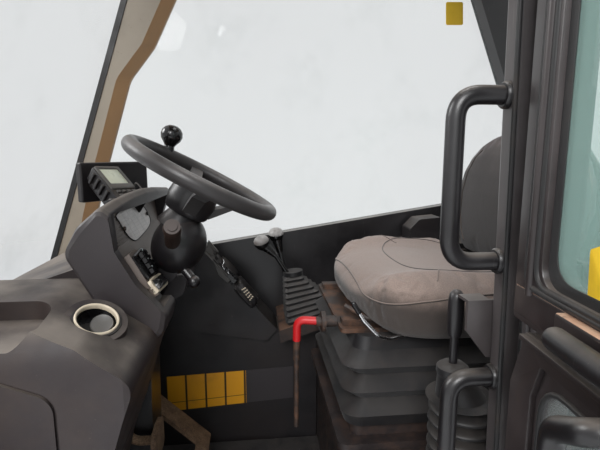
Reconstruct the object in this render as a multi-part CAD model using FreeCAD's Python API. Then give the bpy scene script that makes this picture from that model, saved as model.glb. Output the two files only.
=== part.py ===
"""Operator's cab of a telehandler: welded frame, glazing, split door, fascia, steering, seat and controls.

All lengths are millimetres. X points forward, Y to the driver's left, Z up. The origin is the
centre of the four mounting holes, on the plane that the feet stand on.
"""
import FreeCAD
import Part
import math
import os

V = FreeCAD.Vector

# Cab envelope
HALF_W = 445.0          # outer face of the side walls from the centre plane
WALL = 40.0             # side wall and door thickness
GLASS_T = 6.0
BULGE = 58.0            # how far the windscreen bows forward at its middle
FLOOR_Z = 140.0         # top of the floor mat
MAT_T = 12.0
PAN_T = 8.0
ROOF_Z = 1560.0         # underside of the roof frame
ROOF_FRAME_H = 80.0
FRONT_X = 640.0         # front of the floor
REAR_X = -860.0         # rear wall, outer face
FIT = 0.3               # gap left between pieces that only rest beside each other

# Mounting feet
FOOT_X = 600.0
FOOT_Y = 385.0
FOOT_PLATE = 110.0
FOOT_T = 14.0
FOOT_HOLE_R = 9.0
RAIL_W = 70.0
RAIL_Y = 300.0

# Pillars
A_FRONT = ((640.0, 128.0), (657.0, 620.0), (341.0, ROOF_Z))
A_INSIDE = 52.0         # depth of the front pillar's inner face in Y
B_FRONT = -236.0        # front face of the door pillar at the seat's height
B_MID_Z = 800.0
B_LEAN = 0.02           # how far that face leans forward for each mm of height
B_REAR = -305.0
B_REBATE = 25.0
C_TOP_X = -520.0        # rear pillar's front edge at the roof
C_SILL_X = -805.0       # and at the sill
C_THICK = 110.0

# Sill of the right-hand window
SILL_FRONT_Z = 632.0
SILL_REAR_Z = 856.0
LEFT_SILL_Z = 800.0

# Door, drawn closed and then swung open
DOOR_OPEN = 85.0        # degrees from closed, as it stands
DOOR_HINGE = (-261.0, 466.0)
DOOR_REAR = 20.0        # from the hinge axis to the leaf's edge
DOOR_T = 35.0
DOOR_SPLIT_Z = 760.0
DOOR_SPLIT_GAP = 8.0
DOOR_FLOOR_Z = 170.0
DOOR_TOP_Z = 1545.0
DOOR_GAP = 10.0
PIN_R = 8.0
PIN_CLEAR = 0.06
HINGE_OFF = 5.0         # knuckles and straps stand this far off the pillar's face

# Seat
SEAT_DECK_Z = 440.0     # top of the raised deck that the seat stands on
DECK_FRONT = -100.0
DECK_T = 6.0
SEAT_X = -275.0         # middle of the suspension
BELLOWS_L = 400.0
BELLOWS_W = 400.0
BELLOWS_Z = (478.0, 640.0)
BELLOWS_FOLDS = 3
BELLOWS_DEEP = 24.0
CUSHION_NOSE = -92.0
CUSHION_REAR = -433.0
CUSHION_HALF_W = 245.0
BACK_PIVOT = (-475.0, 700.0)
BACK_HALF_W = 235.0
BACK_LEAN = 12.0

# Steering
COLUMN_TILT = 28.0      # wheel plane from the horizontal
WHEEL_C = (180.0, 0.0, 920.0)
WHEEL_R = 151.0         # to the middle of the rim
RIM_R = 15.0
HUB_DROP = 74.0
HUB_R = 44.0
SHAFT_R = 12.0
COLUMN_PIVOT = (314.0, 640.0)

# Fascia
POD_HALF_W = 165.0
POD_RIGHT = -250.0
CONSOLE_Y = (84.0, 345.0)
CONSOLE_TOP = 742.0
VENT = (322.0, 238.0, 716.0)
VENT_R = 37.0

# Right-hand console
RC_Y = (-405.0, -292.0)

# Tubes
HANDLE_R = 11.5
PARTS = {}


def keep(name, *shapes):
    """Stores the solids of one node."""
    solids = []
    for s in shapes:
        solids += s.Solids
    PARTS[name] = Part.makeCompound(solids) if len(solids) > 1 else solids[0]


def to_xz(y):
    return lambda u, v: V(u, y, v)


def to_xy(z):
    return lambda u, v: V(u, v, z)


def to_yz(x):
    return lambda u, v: V(x, u, v)


def outline(points, place, radius=0.0):
    """Closed wire through (u, v) or (u, v, r) points, each corner rounded by its r or by radius."""
    corners = []
    count = len(points)
    for i, p in enumerate(points):
        here = V(p[0], p[1], 0)
        before = V(points[i - 1][0], points[i - 1][1], 0)
        after = V(points[(i + 1) % count][0], points[(i + 1) % count][1], 0)
        r = p[2] if len(p) > 2 else radius
        a = (before - here).normalize()
        b = (after - here).normalize()
        turn = math.acos(max(-1.0, min(1.0, a.dot(b))))
        if r < 0.01 or turn > math.pi - 0.01:
            corners.append((here, None, here))
            continue
        back = r / math.tan(turn / 2)
        centre = here + (a + b).normalize() * (r / math.sin(turn / 2))
        middle = centre + (here - centre).normalize() * r
        corners.append((here + a * back, middle, here + b * back))
    edges = []
    for i, (start, middle, end) in enumerate(corners):
        if middle is not None:
            arc = [place(q.x, q.y) for q in (start, middle, end)]
            edges.append(Part.Arc(*arc).toShape())
        following = corners[(i + 1) % count][0]
        if (following - end).Length > 1e-4:
            edges.append(Part.LineSegment(place(end.x, end.y), place(following.x, following.y)).toShape())
    return Part.Wire(Part.__sortEdges__(edges))


def prism(points, place, along, radius=0.0):
    """A closed outline pushed along a vector."""
    return Part.Face(outline(points, place, radius)).extrude(V(*along))


def slab_xz(points, y0, y1, radius=0.0):
    return prism(points, to_xz(y0), (0, y1 - y0, 0), radius)


def slab_xy(points, z0, z1, radius=0.0):
    return prism(points, to_xy(z0), (0, 0, z1 - z0), radius)


def slab_yz(points, x0, x1, radius=0.0):
    return prism(points, to_yz(x0), (x1 - x0, 0, 0), radius)


def box(x0, x1, y0, y1, z0, z1):
    return Part.makeBox(x1 - x0, y1 - y0, z1 - z0, V(x0, y0, z0))


def rect(u0, u1, v0, v1):
    return [(u0, v0), (u1, v0), (u1, v1), (u0, v1)]


def rod(a, b, r):
    a, b = V(*a), V(*b)
    return Part.makeCylinder(r, (b - a).Length, a, b - a)


def tube(points, r, bend):
    """A round bar along a path whose corners are bent to one radius."""
    pts = [V(*p) for p in points]
    edges = []
    last = pts[0]
    for i in range(1, len(pts) - 1):
        a = (pts[i - 1] - pts[i]).normalize()
        b = (pts[i + 1] - pts[i]).normalize()
        turn = math.acos(max(-1.0, min(1.0, a.dot(b))))
        back = bend / math.tan(turn / 2)
        centre = pts[i] + (a + b).normalize() * (bend / math.sin(turn / 2))
        middle = centre + (pts[i] - centre).normalize() * bend
        edges.append(Part.LineSegment(last, pts[i] + a * back).toShape())
        edges.append(Part.Arc(pts[i] + a * back, middle, pts[i] + b * back).toShape())
        last = pts[i] + b * back
    edges.append(Part.LineSegment(last, pts[-1]).toShape())
    path = Part.Wire(edges)
    start = Part.Wire(Part.makeCircle(r, pts[0], pts[1] - pts[0]))
    return path.makePipeShell([start], True, True)


def turned(shape, centre, axis, degrees):
    out = shape.copy()
    out.rotate(V(*centre), V(*axis), degrees)
    return out


def sill_z(x):
    """Height of the right-hand window sill, which rises to the rear."""
    share = (A_FRONT[1][0] - x) / (A_FRONT[1][0] - C_SILL_X)
    return SILL_FRONT_Z + share * (SILL_REAR_Z - SILL_FRONT_Z)


def post_x(z):
    """X of the door pillar's front face at a height."""
    return B_FRONT + (z - B_MID_Z) * B_LEAN


def front_edge(z):
    """X of the front pillar's forward edge at a height."""
    low, knee, top = A_FRONT
    a, b = (low, knee) if z <= knee[1] else (knee, top)
    return a[0] + (z - a[1]) * (b[0] - a[0]) / (b[1] - a[1])


def rear_edge(z):
    """X of the rear pillar's front edge at a height above the sill."""
    return C_SILL_X + (z - SILL_REAR_Z) * (C_TOP_X - C_SILL_X) / (ROOF_Z - SILL_REAR_Z)


def base_frame():
    pan_z = FLOOR_Z - MAT_T - PAN_T
    rails = []
    for side in (-1, 1):
        y = side * RAIL_Y
        rails.append(box(REAR_X + 40, FRONT_X - 20, y - RAIL_W / 2, y + RAIL_W / 2, FOOT_T, pan_z))
    for x in (-FOOT_X, -200, 200, FOOT_X):
        rails.append(box(x - 30, x + 30, -RAIL_Y, RAIL_Y, FOOT_T + 20, pan_z))
    frame = rails[0].multiFuse(rails[1:])
    feet = []
    for sx in (-1, 1):
        for sy in (-1, 1):
            x, y = sx * FOOT_X, sy * FOOT_Y
            inner = sy * (RAIL_Y - RAIL_W / 2)
            outer = sy * (FOOT_Y + FOOT_PLATE / 2)
            y0, y1 = min(inner, outer), max(inner, outer)
            plate = slab_xy(rect(x - FOOT_PLATE / 2, x + FOOT_PLATE / 2, y0, y1), 0, FOOT_T, 12)
            for gx in (-FOOT_PLATE / 2 + 6, FOOT_PLATE / 2 - 14):
                edge = sy * (RAIL_Y + RAIL_W / 2)
                web = [(edge, FOOT_T), (outer - sy * 8, FOOT_T), (edge, pan_z - 10)]
                plate = plate.fuse(slab_yz(web, x + gx, x + gx + 8))
            hole = rod((x, y, -1), (x, y, pan_z), FOOT_HOLE_R)
            feet.append(plate.cut(hole))
    pan = box(REAR_X, FRONT_X, -HALF_W, HALF_W, pan_z, pan_z + PAN_T)
    keep("base_frame", frame.multiFuse(feet + [pan]).removeSplitter())


def floor_mat():
    inner = HALF_W - WALL
    mat = slab_xy(rect(DECK_FRONT + FIT, 560, RC_Y[1] + 2, inner - 4), FLOOR_Z - MAT_T, FLOOR_Z - 4, 8)
    ribs = []
    for i in range(10):
        x = DECK_FRONT + 42 + i * 48
        ribs.append(box(x - 18, x + 18, RC_Y[1] + 60, inner - 30, FLOOR_Z - 4, FLOOR_Z))
    mat = mat.multiFuse(ribs).removeSplitter()
    for name in ("front_console", "side_console", "column_foot", "front_wall", "pillar_front_left"):
        mat = mat.cut(PARTS[name])
    keep("floor_mat", biggest(mat))


def seat_deck():
    inner = HALF_W - WALL
    z0 = FLOOR_Z - MAT_T
    top = slab_xy(rect(REAR_X + WALL, DECK_FRONT, RC_Y[0] + 1, inner - 1), SEAT_DECK_Z - DECK_T, SEAT_DECK_Z)
    face = box(DECK_FRONT - DECK_T, DECK_FRONT, RC_Y[0] + 1, inner - 1, z0, SEAT_DECK_Z - DECK_T)
    deck = top.fuse(face)
    for y in (RC_Y[0] + 1, inner - 1 - DECK_T):
        deck = deck.fuse(box(REAR_X + WALL, DECK_FRONT - DECK_T, y, y + DECK_T, z0, SEAT_DECK_Z - DECK_T))
    x0, x1 = SEAT_X - BELLOWS_L / 2, SEAT_X + BELLOWS_L / 2
    hw = BELLOWS_W / 2
    base = slab_xy(rect(x0 - 6, x1 + 8, -hw - 6, hw + 6), SEAT_DECK_Z, SEAT_DECK_Z + 12, 18)
    plinth = slab_xy(rect(x0 + 20, x1 - 20, -hw + 20, hw - 20), SEAT_DECK_Z + 12, BELLOWS_Z[0], 18)
    deck = deck.multiFuse([base, plinth]).removeSplitter().cut(PARTS["pillar_door"])
    keep("seat_deck", biggest(deck))


def front_pillar(side):
    """Front pillar with its moulded trim: the rear edge swells into the roof and its corner is splayed."""
    outer_y = side * HALF_W
    inner_y = side * (HALF_W - A_INSIDE)
    bow = [(283.0, 1391.0, 40.0), (347.0, 1262.0, 60.0), (418.0, 1172.0, 90.0), (507.0, 892.0), (575.0, 640.0)]

    def ring(inset, y):
        pts = [(A_FRONT[0][0], FLOOR_Z - MAT_T), A_FRONT[1], A_FRONT[2], (A_FRONT[2][0] - 128 + inset, ROOF_Z)]
        pts += [(p[0] + inset, p[1]) + tuple(p[2:]) for p in bow]
        pts.append((560.0 + inset, FLOOR_Z - MAT_T))
        return outline(pts, to_xz(y))

    middle = side * (HALF_W - 16)
    back = Part.Face(ring(0, outer_y)).extrude(V(0, middle - outer_y, 0))
    splay = Part.makeLoft([ring(0, middle), ring(26, inner_y)], True, True)
    return back.fuse(splay).removeSplitter()


def door_pillar():
    """Leaning post with a rebate that the closed door lies in."""
    inner = HALF_W - DOOR_T - 32
    step = HALF_W - DOOR_T - 6
    ends = []
    for z in (FLOOR_Z - MAT_T, ROOF_Z):
        x = post_x(z)
        plan = [(B_REAR, inner), (x, inner, 6), (x, step), (x - B_REBATE, step),
                (x - B_REBATE, HALF_W - 12, 6), (x - B_REBATE - 8, HALF_W), (B_REAR, HALF_W)]
        ends.append(outline(plan, to_xy(z)))
    return Part.makeLoft(ends, True, True)


def rear_pillar(side):
    """Upper rear pillar, leaning forward to the roof on top of the side wall."""
    outer_y = side * HALF_W
    inner_y = side * (HALF_W - 55)
    low = SILL_REAR_Z if side < 0 else LEFT_SILL_Z
    x_low = rear_edge(low)
    pts = [(x_low, low), (C_TOP_X, ROOF_Z), (C_TOP_X - C_THICK, ROOF_Z),
           (REAR_X, SILL_REAR_Z + 20), (REAR_X, low)]
    return slab_xz(pts, min(outer_y, inner_y), max(outer_y, inner_y))


def frame():
    keep("pillar_front_right", front_pillar(-1))
    keep("pillar_front_left", front_pillar(1))
    keep("pillar_door", door_pillar())
    front_x, rear_x = A_FRONT[2][0] + 14, C_TOP_X - C_THICK - 14
    ring = slab_xy(rect(rear_x, front_x, -HALF_W, HALF_W), ROOF_Z, ROOF_Z + ROOF_FRAME_H, 40)
    hole = slab_xy(rect(rear_x + 90, front_x - 110, -HALF_W + 75, HALF_W - 75),
                   ROOF_Z - 1, ROOF_Z + ROOF_FRAME_H + 1, 30)
    brow = bow(ROOF_Z, front_x - 60, HALF_W - 6, 3 + GLASS_T).extrude(V(0, 0, ROOF_FRAME_H))
    keep("roof_frame", ring.cut(hole).fuse(brow.cut(hole)).removeSplitter())


def roof():
    """Roof skin: a shallow pressed tray turned up round a window, with the guard above it."""
    front_x, rear_x = A_FRONT[2][0] + BULGE + 36, C_TOP_X - C_THICK - 44
    z0 = ROOF_Z + ROOF_FRAME_H
    half = HALF_W + 14
    levels = []
    for z, inset, r in ((z0, 0, 70), (z0 + 28, 0, 70), (z0 + 58, 46, 60)):
        plan = rect(rear_x + inset, front_x - inset, -half + inset, half - inset)
        levels.append(outline(plan, to_xy(z), r))
    skin = Part.makeLoft(levels, True, True)
    window = rect(rear_x + 190, front_x - 250, -290, 290)
    skin = skin.cut(slab_xy(window, z0 - 1, z0 + 70, 30))
    under = rect(rear_x + 60, front_x - 60, -half + 60, half - 60)
    skin = skin.cut(slab_xy(under, z0 - 1, z0 + 24, 50))
    keep("roof_skin", skin)
    pane = rect(rear_x + 194, front_x - 254, -286, 286)
    rim = slab_xy(rect(rear_x + 174, front_x - 234, -306, 306), z0 + 6, z0 + 24, 34)
    rim = rim.cut(slab_xy(rect(rear_x + 210, front_x - 270, -270, 270), z0, z0 + 40, 24))
    keep("roof_glass", slab_xy(pane, z0 + 24, z0 + 30, 26).fuse(rim).removeSplitter())
    bars = []
    top = z0 + 58
    for i in range(7):
        y = -240 + i * 80
        bars.append(rod((rear_x + 150, y, top + 24), (front_x - 210, y, top + 24), 9))
    for x in (rear_x + 150, front_x - 210):
        bars.append(box(x - 14, x + 14, -262, 262, top + 10, top + 38))
        for y in (-250, 250):
            bars.append(box(x - 10, x + 10, y - 8, y + 8, top, top + 12))
    keep("roof_guard", bars[0].multiFuse(bars[1:]).removeSplitter())


def headliner():
    """Moulded lining under the roof frame, with a lip round the roof window."""
    front_x, rear_x = A_FRONT[2][0] - 8, C_TOP_X + 4
    wall = HALF_W - 60
    low = ROOF_Z - 60
    plan = rect(rear_x, front_x - 130, -wall, wall)
    top = outline(plan, to_xy(ROOF_Z - FIT), 50)
    rim = outline(rect(rear_x + 26, front_x - 150, -wall + 24, wall - 24), to_xy(low), 50)
    shell = Part.makeLoft([rim, top], True, True)
    hole = slab_xy(rect(rear_x + 80, front_x - 230, -HALF_W + 130, HALF_W - 130), low - 1, ROOF_Z + 1, 40)
    shell = shell.cut(hole)
    for name in ("pillar_front_right", "pillar_front_left", "side_wall_right", "side_wall_left", "pillar_door"):
        shell = shell.cut(PARTS[name])
    keep("headliner", shell)


def side_walls():
    z0 = FLOOR_Z - MAT_T
    inner = HALF_W - WALL
    right = [(REAR_X, z0), (A_FRONT[0][0] - 1, z0), (A_FRONT[1][0] - 1, A_FRONT[1][1]),
             (A_FRONT[1][0] - 8, sill_z(A_FRONT[1][0] - 8)), (C_SILL_X, SILL_REAR_Z), (REAR_X, SILL_REAR_Z)]
    wall = slab_xz(right, -HALF_W, -inner).cut(PARTS["pillar_front_right"])
    keep("side_wall_right", biggest(wall).fuse(rear_pillar(-1)).removeSplitter())
    left = [(REAR_X, z0), (B_REAR, z0), (B_REAR, LEFT_SILL_Z), (REAR_X, LEFT_SILL_Z)]
    keep("side_wall_left", slab_xz(left, inner, HALF_W).fuse(rear_pillar(1)).removeSplitter())
    back = slab_yz(rect(-inner, inner, z0, SILL_REAR_Z), REAR_X, REAR_X + WALL)
    keep("rear_wall", back.cut(PARTS["side_wall_left"]).cut(PARTS["side_wall_right"]))
    front = [(598, z0), (620, z0), (640, 638), (618, 638)]
    keep("front_wall", slab_xz(front, -HALF_W + A_INSIDE + FIT, HALF_W - A_INSIDE - FIT))
    bay = [(300, z0), (560 - FIT, z0), (572, 560), (548, 700), (505, 600), (330, 300)]
    keep("wing_panel", slab_xz(bay, inner, HALF_W).cut(PARTS["pillar_front_left"]))


def biggest(shape):
    return max(shape.Solids, key=lambda s: s.Volume)


def bow(z, back, half, front):
    """Plan area between a straight rear line and the windscreen's curve set back by some distance."""
    x = front_edge(z) + front
    curve = Part.Arc(V(x, -half, z), V(x + BULGE, 0, z), V(x, half, z)).toShape()
    pts = [V(x, half, z), V(back, half, z), V(back, -half, z), V(x, -half, z)]
    lines = [Part.LineSegment(p, q).toShape() for p, q in zip(pts, pts[1:])]
    return Part.Face(Part.Wire(Part.__sortEdges__([curve] + lines)))


def glazing():
    """Windscreen bowed forward on its seal, flat side panes and a leaning rear pane."""
    low_z, top_z = A_FRONT[1][1] + 18, ROOF_Z
    slope = V(front_edge(top_z) - front_edge(low_z), 0, top_z - low_z)
    half = HALF_W - 6
    solid = bow(low_z, front_edge(low_z) - 40, half, 3 + GLASS_T).extrude(slope)
    hollow = bow(low_z, front_edge(low_z) - 45, half + 5, 3).extrude(slope)
    screen = biggest(solid.cut(hollow))
    keep("windscreen", screen)
    strips = bow(low_z, front_edge(low_z), half, 3).extrude(slope)
    inside = box(-900, 900, -HALF_W + A_INSIDE + 4, HALF_W - A_INSIDE - 4, low_z + 12, top_z - 12)
    keep("windscreen_seal", strips.cut(inside))
    cowl = bow(low_z, 618, half, 3 + GLASS_T).extrude(V(0, 0, -16))
    cowl = cowl.cut(PARTS["pillar_front_left"]).cut(PARTS["pillar_front_right"])
    keep("front_wall", PARTS["front_wall"].fuse(cowl).removeSplitter())

    y0, y1 = -HALF_W + 6, -HALF_W + 6 + GLASS_T
    x_front = 575.0
    pane = [(x_front, sill_z(x_front)), (507, 892), (418, 1172), (347, 1262), (283, 1391), (213, ROOF_Z),
            (C_TOP_X, ROOF_Z), (C_SILL_X, SILL_REAR_Z)]
    glass = slab_xz(pane, y0, y1)
    for name in ("pillar_front_right", "side_wall_right"):
        glass = glass.cut(PARTS[name])
    keep("window_right", biggest(glass))

    pane = [(B_REAR, LEFT_SILL_Z), (B_REAR, ROOF_Z), (C_TOP_X, ROOF_Z), (rear_edge(LEFT_SILL_Z), LEFT_SILL_Z)]
    keep("window_left_rear", slab_xz(pane, -y1, -y0))

    edge = HALF_W - 55 - FIT
    foot, head = V(REAR_X + 12, -edge, SILL_REAR_Z), V(C_TOP_X - C_THICK + 12, -edge, ROOF_Z)
    pane = Part.Face(Part.makePolygon([foot, head, V(head.x + GLASS_T, head.y, head.z),
                                       V(foot.x + GLASS_T, foot.y, foot.z), foot]))
    keep("window_rear", pane.extrude(V(0, 2 * edge, 0)))


def swing(shape):
    """Opens a door piece from closed to how it stands."""
    return turned(shape, (DOOR_HINGE[0], DOOR_HINGE[1], 0), (0, 0, 1), DOOR_OPEN)


def hinge(z, on_door):
    """One hinge: the door's knuckle on its strap, or the pillar's pin between two knuckles."""
    hx, hy = DOOR_HINGE
    r = hy - HALF_W - HINGE_OFF
    if on_door:
        strap = box(hx, hx + DOOR_REAR + 50, HALF_W + HINGE_OFF, HALF_W + HINGE_OFF + 7, z - 14, z + 14)
        pad = box(hx + DOOR_REAR + 4, hx + DOOR_REAR + 50, HALF_W, HALF_W + HINGE_OFF, z - 14, z + 14)
        bore = rod((hx, hy, z - 20), (hx, hy, z + 20), PIN_R + PIN_CLEAR)
        return rod((hx, hy, z - 14), (hx, hy, z + 14), r).multiFuse([strap, pad]).cut(bore)
    pin = rod((hx, hy, z - 30), (hx, hy, z + 30), PIN_R)
    arms = []
    for dz in (-22.5, 22.5):
        arms.append(rod((hx, hy, z + dz - 7.5), (hx, hy, z + dz + 7.5), r))
        arms.append(box(hx - 30, hx, HALF_W, hy, z + dz - 7.5, z + dz + 7.5))
    return pin.multiFuse(arms).removeSplitter()


HINGES_LOWER = (300.0, 660.0)
HINGES_UPPER = (850.0, 1440.0)


def door():
    rear = DOOR_HINGE[0] + DOOR_REAR
    y0, y1 = HALF_W - DOOR_T, HALF_W
    # lower leaf: pressed skin with a raised border, a rounded light and a top flange
    top = DOOR_SPLIT_Z - DOOR_SPLIT_GAP
    leaf = [(rear, DOOR_FLOOR_Z, 12), (285, DOOR_FLOOR_Z, 30), (310, 300, 60), (485, 590, 80),
            (528, top, 12), (rear, top, 4)]
    panel = slab_xz(leaf, y0, y1)
    light = [(rear + 62, 262, 45), (262, 262, 45), (268, 330, 60), (420, 560, 60),
             (425, top - 62, 45), (rear + 62, top - 62, 45)]
    hollow = [(rear + 22, DOOR_FLOOR_Z + 22, 20), (264, DOOR_FLOOR_Z + 22, 30), (290, 310, 60),
              (462, 594, 70), (494, top - 24, 20), (rear + 22, top - 24, 20)]
    panel = panel.cut(slab_xz(light, y0 - 1, y1 + 1))
    panel = panel.cut(slab_xz(hollow, y0 - 1, y0 + 9))
    flange = box(rear + 14, 515, y0 - 10, y0, top - 8, top)
    lower = panel.fuse(flange)
    for z in HINGES_LOWER:
        lower = lower.fuse(hinge(z, True))
    pane = [(rear + 48, 248, 50), (274, 248, 50), (280, 326, 60), (434, 566, 60),
            (438, top - 48, 50), (rear + 48, top - 48, 50)]
    glass = slab_xz(pane, y0 + 12, y0 + 12 + 5)
    grab_x = rear + 190
    grab = tube([(grab_x, y0, top - 40), (grab_x, y0 - 58, top - 40), (grab_x, y0 - 58, 330), (grab_x, y0, 330)],
                10.5, 34)
    stay = box(grab_x - 26, grab_x + 26, y0, y0 + 9, 264, top - 60)
    plates = [rod((grab_x, y0, z), (grab_x, y0 - 4, z), 18) for z in (top - 40, 330)]
    lower = lower.multiFuse([grab, stay] + plates).removeSplitter().cut(glass)
    keep("door_lower", swing(biggest(lower)))
    keep("door_lower_glass", swing(glass))

    # upper leaf: a frame round the glass with a deep bottom rail, a stiffening rail and a latch bar
    base = DOOR_SPLIT_Z
    off = DOOR_GAP + 2
    edge = [(545.0, base, 20.0), (507.0, 892.0, 120.0), (418.0, 1172.0, 90.0), (347.0, 1262.0, 70.0),
            (283.0, 1391.0, 70.0), (219.0, DOOR_TOP_Z, 40.0)]
    leaf = [(x - off, z, r) for x, z, r in edge]
    leaf = [(rear, base, 6)] + leaf + [(rear, DOOR_TOP_Z, 25)]
    border = 48.0
    light = [(x - off - border, z, r) for x, z, r in edge]
    light[0] = (light[0][0], base + 58, 40)
    light[-1] = (light[-1][0], DOOR_TOP_Z - 44, 30)
    light = [(rear + 48, base + 58, 30)] + light + [(rear + 48, DOOR_TOP_Z - 44, 40)]
    ring = slab_xz(leaf, y0, y1).cut(slab_xz(light, y0 - 1, y1 + 1))
    rail = box(rear + 14, 400, y0 - 14, y0, base + 14, base + 50)
    upper = ring.fuse(rail)
    for z in HINGES_UPPER:
        upper = upper.fuse(hinge(z, True))
    bar_z = base + 12
    bar = tube([(rear + 85, y0, bar_z), (rear + 85, y0 - 52, bar_z), (460, y0 - 52, bar_z), (460, y0, bar_z)], 9, 18)
    keep("door_upper", swing(upper.fuse(bar).removeSplitter()))
    keep("door_upper_glass", swing(slab_xz(light, y1 - 14, y1 - 14 + GLASS_T)))

    pins = [hinge(z, False) for z in HINGES_LOWER + HINGES_UPPER]
    keep("pillar_door", PARTS["pillar_door"].multiFuse(pins).removeSplitter())


def grab_handles():
    """Two bent tubes welded to the door pillar's front face, and the latch bracket between them."""
    inner = HALF_W - DOOR_T - 32
    y = inner + 12
    for name, low, high, reach in (("grab_handle_upper", 832.0, 1040.0, 62.0), ("grab_handle_lower", 470.0, 672.0, 58.0)):
        front = post_x((low + high) / 2) + reach
        path = [(post_x(high), y, high), (front, y, high), (front, y, low), (post_x(low), y, low)]
        feet = [rod((post_x(z) - 1, y, z), (post_x(z) + 6, y, z), 17).cut(box(-300, post_x(z), 0, 500, z - 20, z + 20))
                for z in (low, high)]
        shape = tube(path, HANDLE_R, 42).multiFuse(feet).cut(PARTS["pillar_door"])
        keep(name, biggest(shape.removeSplitter()))
    plate = [(B_FRONT - 18, 775), (B_FRONT + 32, 775), (B_FRONT + 32, 732), (B_FRONT + 2, 694), (B_FRONT - 18, 694)]
    bracket = slab_xz(plate, inner - 6, inner)
    tab = box(B_FRONT, B_FRONT + 32, inner - 30, inner - 6, 771, 775)
    keep("pillar_door", PARTS["pillar_door"].multiFuse([bracket, tab]).removeSplitter())


def front_console():
    """Moulded left-hand console: falls to the rear, rounded at its outer and rear corners, with the air vent."""
    y0, y1 = CONSOLE_Y
    z0 = FLOOR_Z - MAT_T
    side = [(597, z0), (597, CONSOLE_TOP), (400, CONSOLE_TOP, 80), (318, 712, 40), (243, 660, 34),
            (262, 605, 60), (291, 512, 80), (318, 440, 120), (352, 300, 120), (358, z0)]
    end = [(y0, z0), (y0, CONSOLE_TOP + 40), (y1, CONSOLE_TOP + 2, 70), (y1, z0)]
    plan = [(200, y0), (597, y0), (597, y1), (200, y1 + 10, 95)]
    body = slab_xz(side, y0, y1).common(slab_yz(end, 190, 600)).common(slab_xy(plan, z0, CONSOLE_TOP + 50))
    axis = V(*VENT_AXIS).normalize()
    mouth = V(*VENT)
    boss = Part.makeCone(VENT_R + 9, VENT_R + 34, 150, mouth, axis * -1)
    body = body.fuse(boss.common(box(190, 600, y0, y1, z0, 900)))
    body = body.cut(Part.makeCylinder(VENT_R, 70, mouth - axis * 26, axis))
    tray = [(372, y1 - 6, 30), (540, y1 - 6, 20), (540, 215, 30), (388, 215, 40)]
    body = body.cut(slab_xy(tray, CONSOLE_TOP - 30, CONSOLE_TOP + 20))
    lid = [(597, 706), (414, 676, 20), (345, 648, 34), (344, 400), (362, 300, 60), (366, z0 + 22), (597, z0 + 22)]
    body = body.cut(slab_xz(lid, y1 - 6, y1 + 5))
    keep("front_console", biggest(body.removeSplitter()))
    inset = [(590, 700), (414, 670, 18), (350, 644, 30), (349, 400), (367, 300, 60), (371, z0 + 28), (590, z0 + 28)]
    keep("console_lid", slab_xz(inset, y1 - 6, y1 - 1).cut(PARTS["front_console"]))
    ring = Part.makeCylinder(VENT_R - FIT, 30, mouth - axis * 26, axis)
    ring = ring.cut(Part.makeCylinder(VENT_R - 8, 40, mouth - axis * 20, axis))
    flap = Part.makeCylinder(VENT_R - 14, 4, mouth - axis * 14, turned_axis(axis, 28))
    stem = rod(mouth - axis * 22, mouth - axis * 11, 6)
    keep("air_vent", ring.multiFuse([stem, flap]))


def turned_axis(axis, degrees):
    out = Part.makeLine(V(0, 0, 0), axis)
    out.rotate(V(0, 0, 0), V(0.9, 0.4, 0), degrees)
    p = out.Vertexes[1].Point
    return p if p.Length > 0.5 else out.Vertexes[0].Point


VENT_AXIS = (-0.35, 0.35, 0.87)


def dash():
    """Instrument pod with its hooded face, and the face plate with gauges, lamps and rockers."""
    levels = []
    for y, lift, back, inset in ((POD_HALF_W, 0, 0, 9), (POD_HALF_W - 5, 0, 0, 2.5), (POD_HALF_W - 14, 2, 0, 0),
                                 (100, 11, 9, 0), (40, 17, 17, 0), (-30, 20, 25, 0), (-110, 17, 31, 0),
                                 (POD_RIGHT, 6, 34, 0)):
        pts = [(398 - inset, 803, 24), (374 - inset, 846 + lift * 0.6 - inset, 50),
               (334 - back, 880 + lift - inset, 10), (318 - back * 0.9, 868 + lift - inset, 6),
               (312, 806), (281, 749), (231 + inset, 690 + inset, 12), (238 + inset, 655 + inset, 22),
               (272, 638 + inset, 30), (340 - inset, 694)]
        levels.append(outline(pts, to_xz(y)))
    pod = Part.makeLoft(levels, True, True)
    y_left, y_right = POD_HALF_W - 24, POD_RIGHT + 24
    mouth = slab_xz([(332, 868), (323, 806), (292, 743), (256, 700), (200, 700), (230, 868)], y_right, y_left)
    pod = pod.cut(mouth)
    channel = slab_xz([(180, 600), (348, 600), (348, 700), (300, 738), (180, 738)], -72, 72)
    pod = pod.cut(channel)
    keep("dash_pod", biggest(pod.removeSplitter()))
    keep("front_console", biggest(PARTS["front_console"].cut(PARTS["dash_pod"])))
    face = slab_xz([(332, 867), (323, 806), (292, 743), (262, 709), (257, 713), (287, 747), (318, 808), (327, 867)],
                   y_right + FIT, y_left - FIT)
    face = face.cut(channel)
    extras = []
    slope = V(-9, 0, -61).normalize()
    out = V(slope.z, 0, -slope.x)
    for i in range(9):
        a = V(327, 0, 862) + slope * (7 * i)
        bar = Part.makeBox(2.0, 96, 2.0, V(0, 0, 0))
        bar.rotate(V(0, 0, 0), V(0, 1, 0), 8.4)
        bar.translate(V(a.x - 2.2, 26, a.z - 1))
        extras.append(bar)
    sticker = Part.makeCylinder(16, 2.0, V(326.5, -12, 846), V(-0.99, 0, 0.147))
    extras.append(sticker)
    block = slab_xz([(305, 790), (274, 730), (262, 734), (296, 796)], 88, 136)
    rocker = slab_xz([(276, 730), (262, 714), (250, 720), (266, 738)], 94, 132)
    small = slab_xz([(300, 776), (284, 746), (274, 750), (292, 782)], -150, -90)
    face = face.multiFuse(extras + [block, rocker, small]).cut(channel)
    keep("dash_panel", biggest(face.cut(PARTS["dash_pod"]).removeSplitter()))
    dash_shelf()


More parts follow.
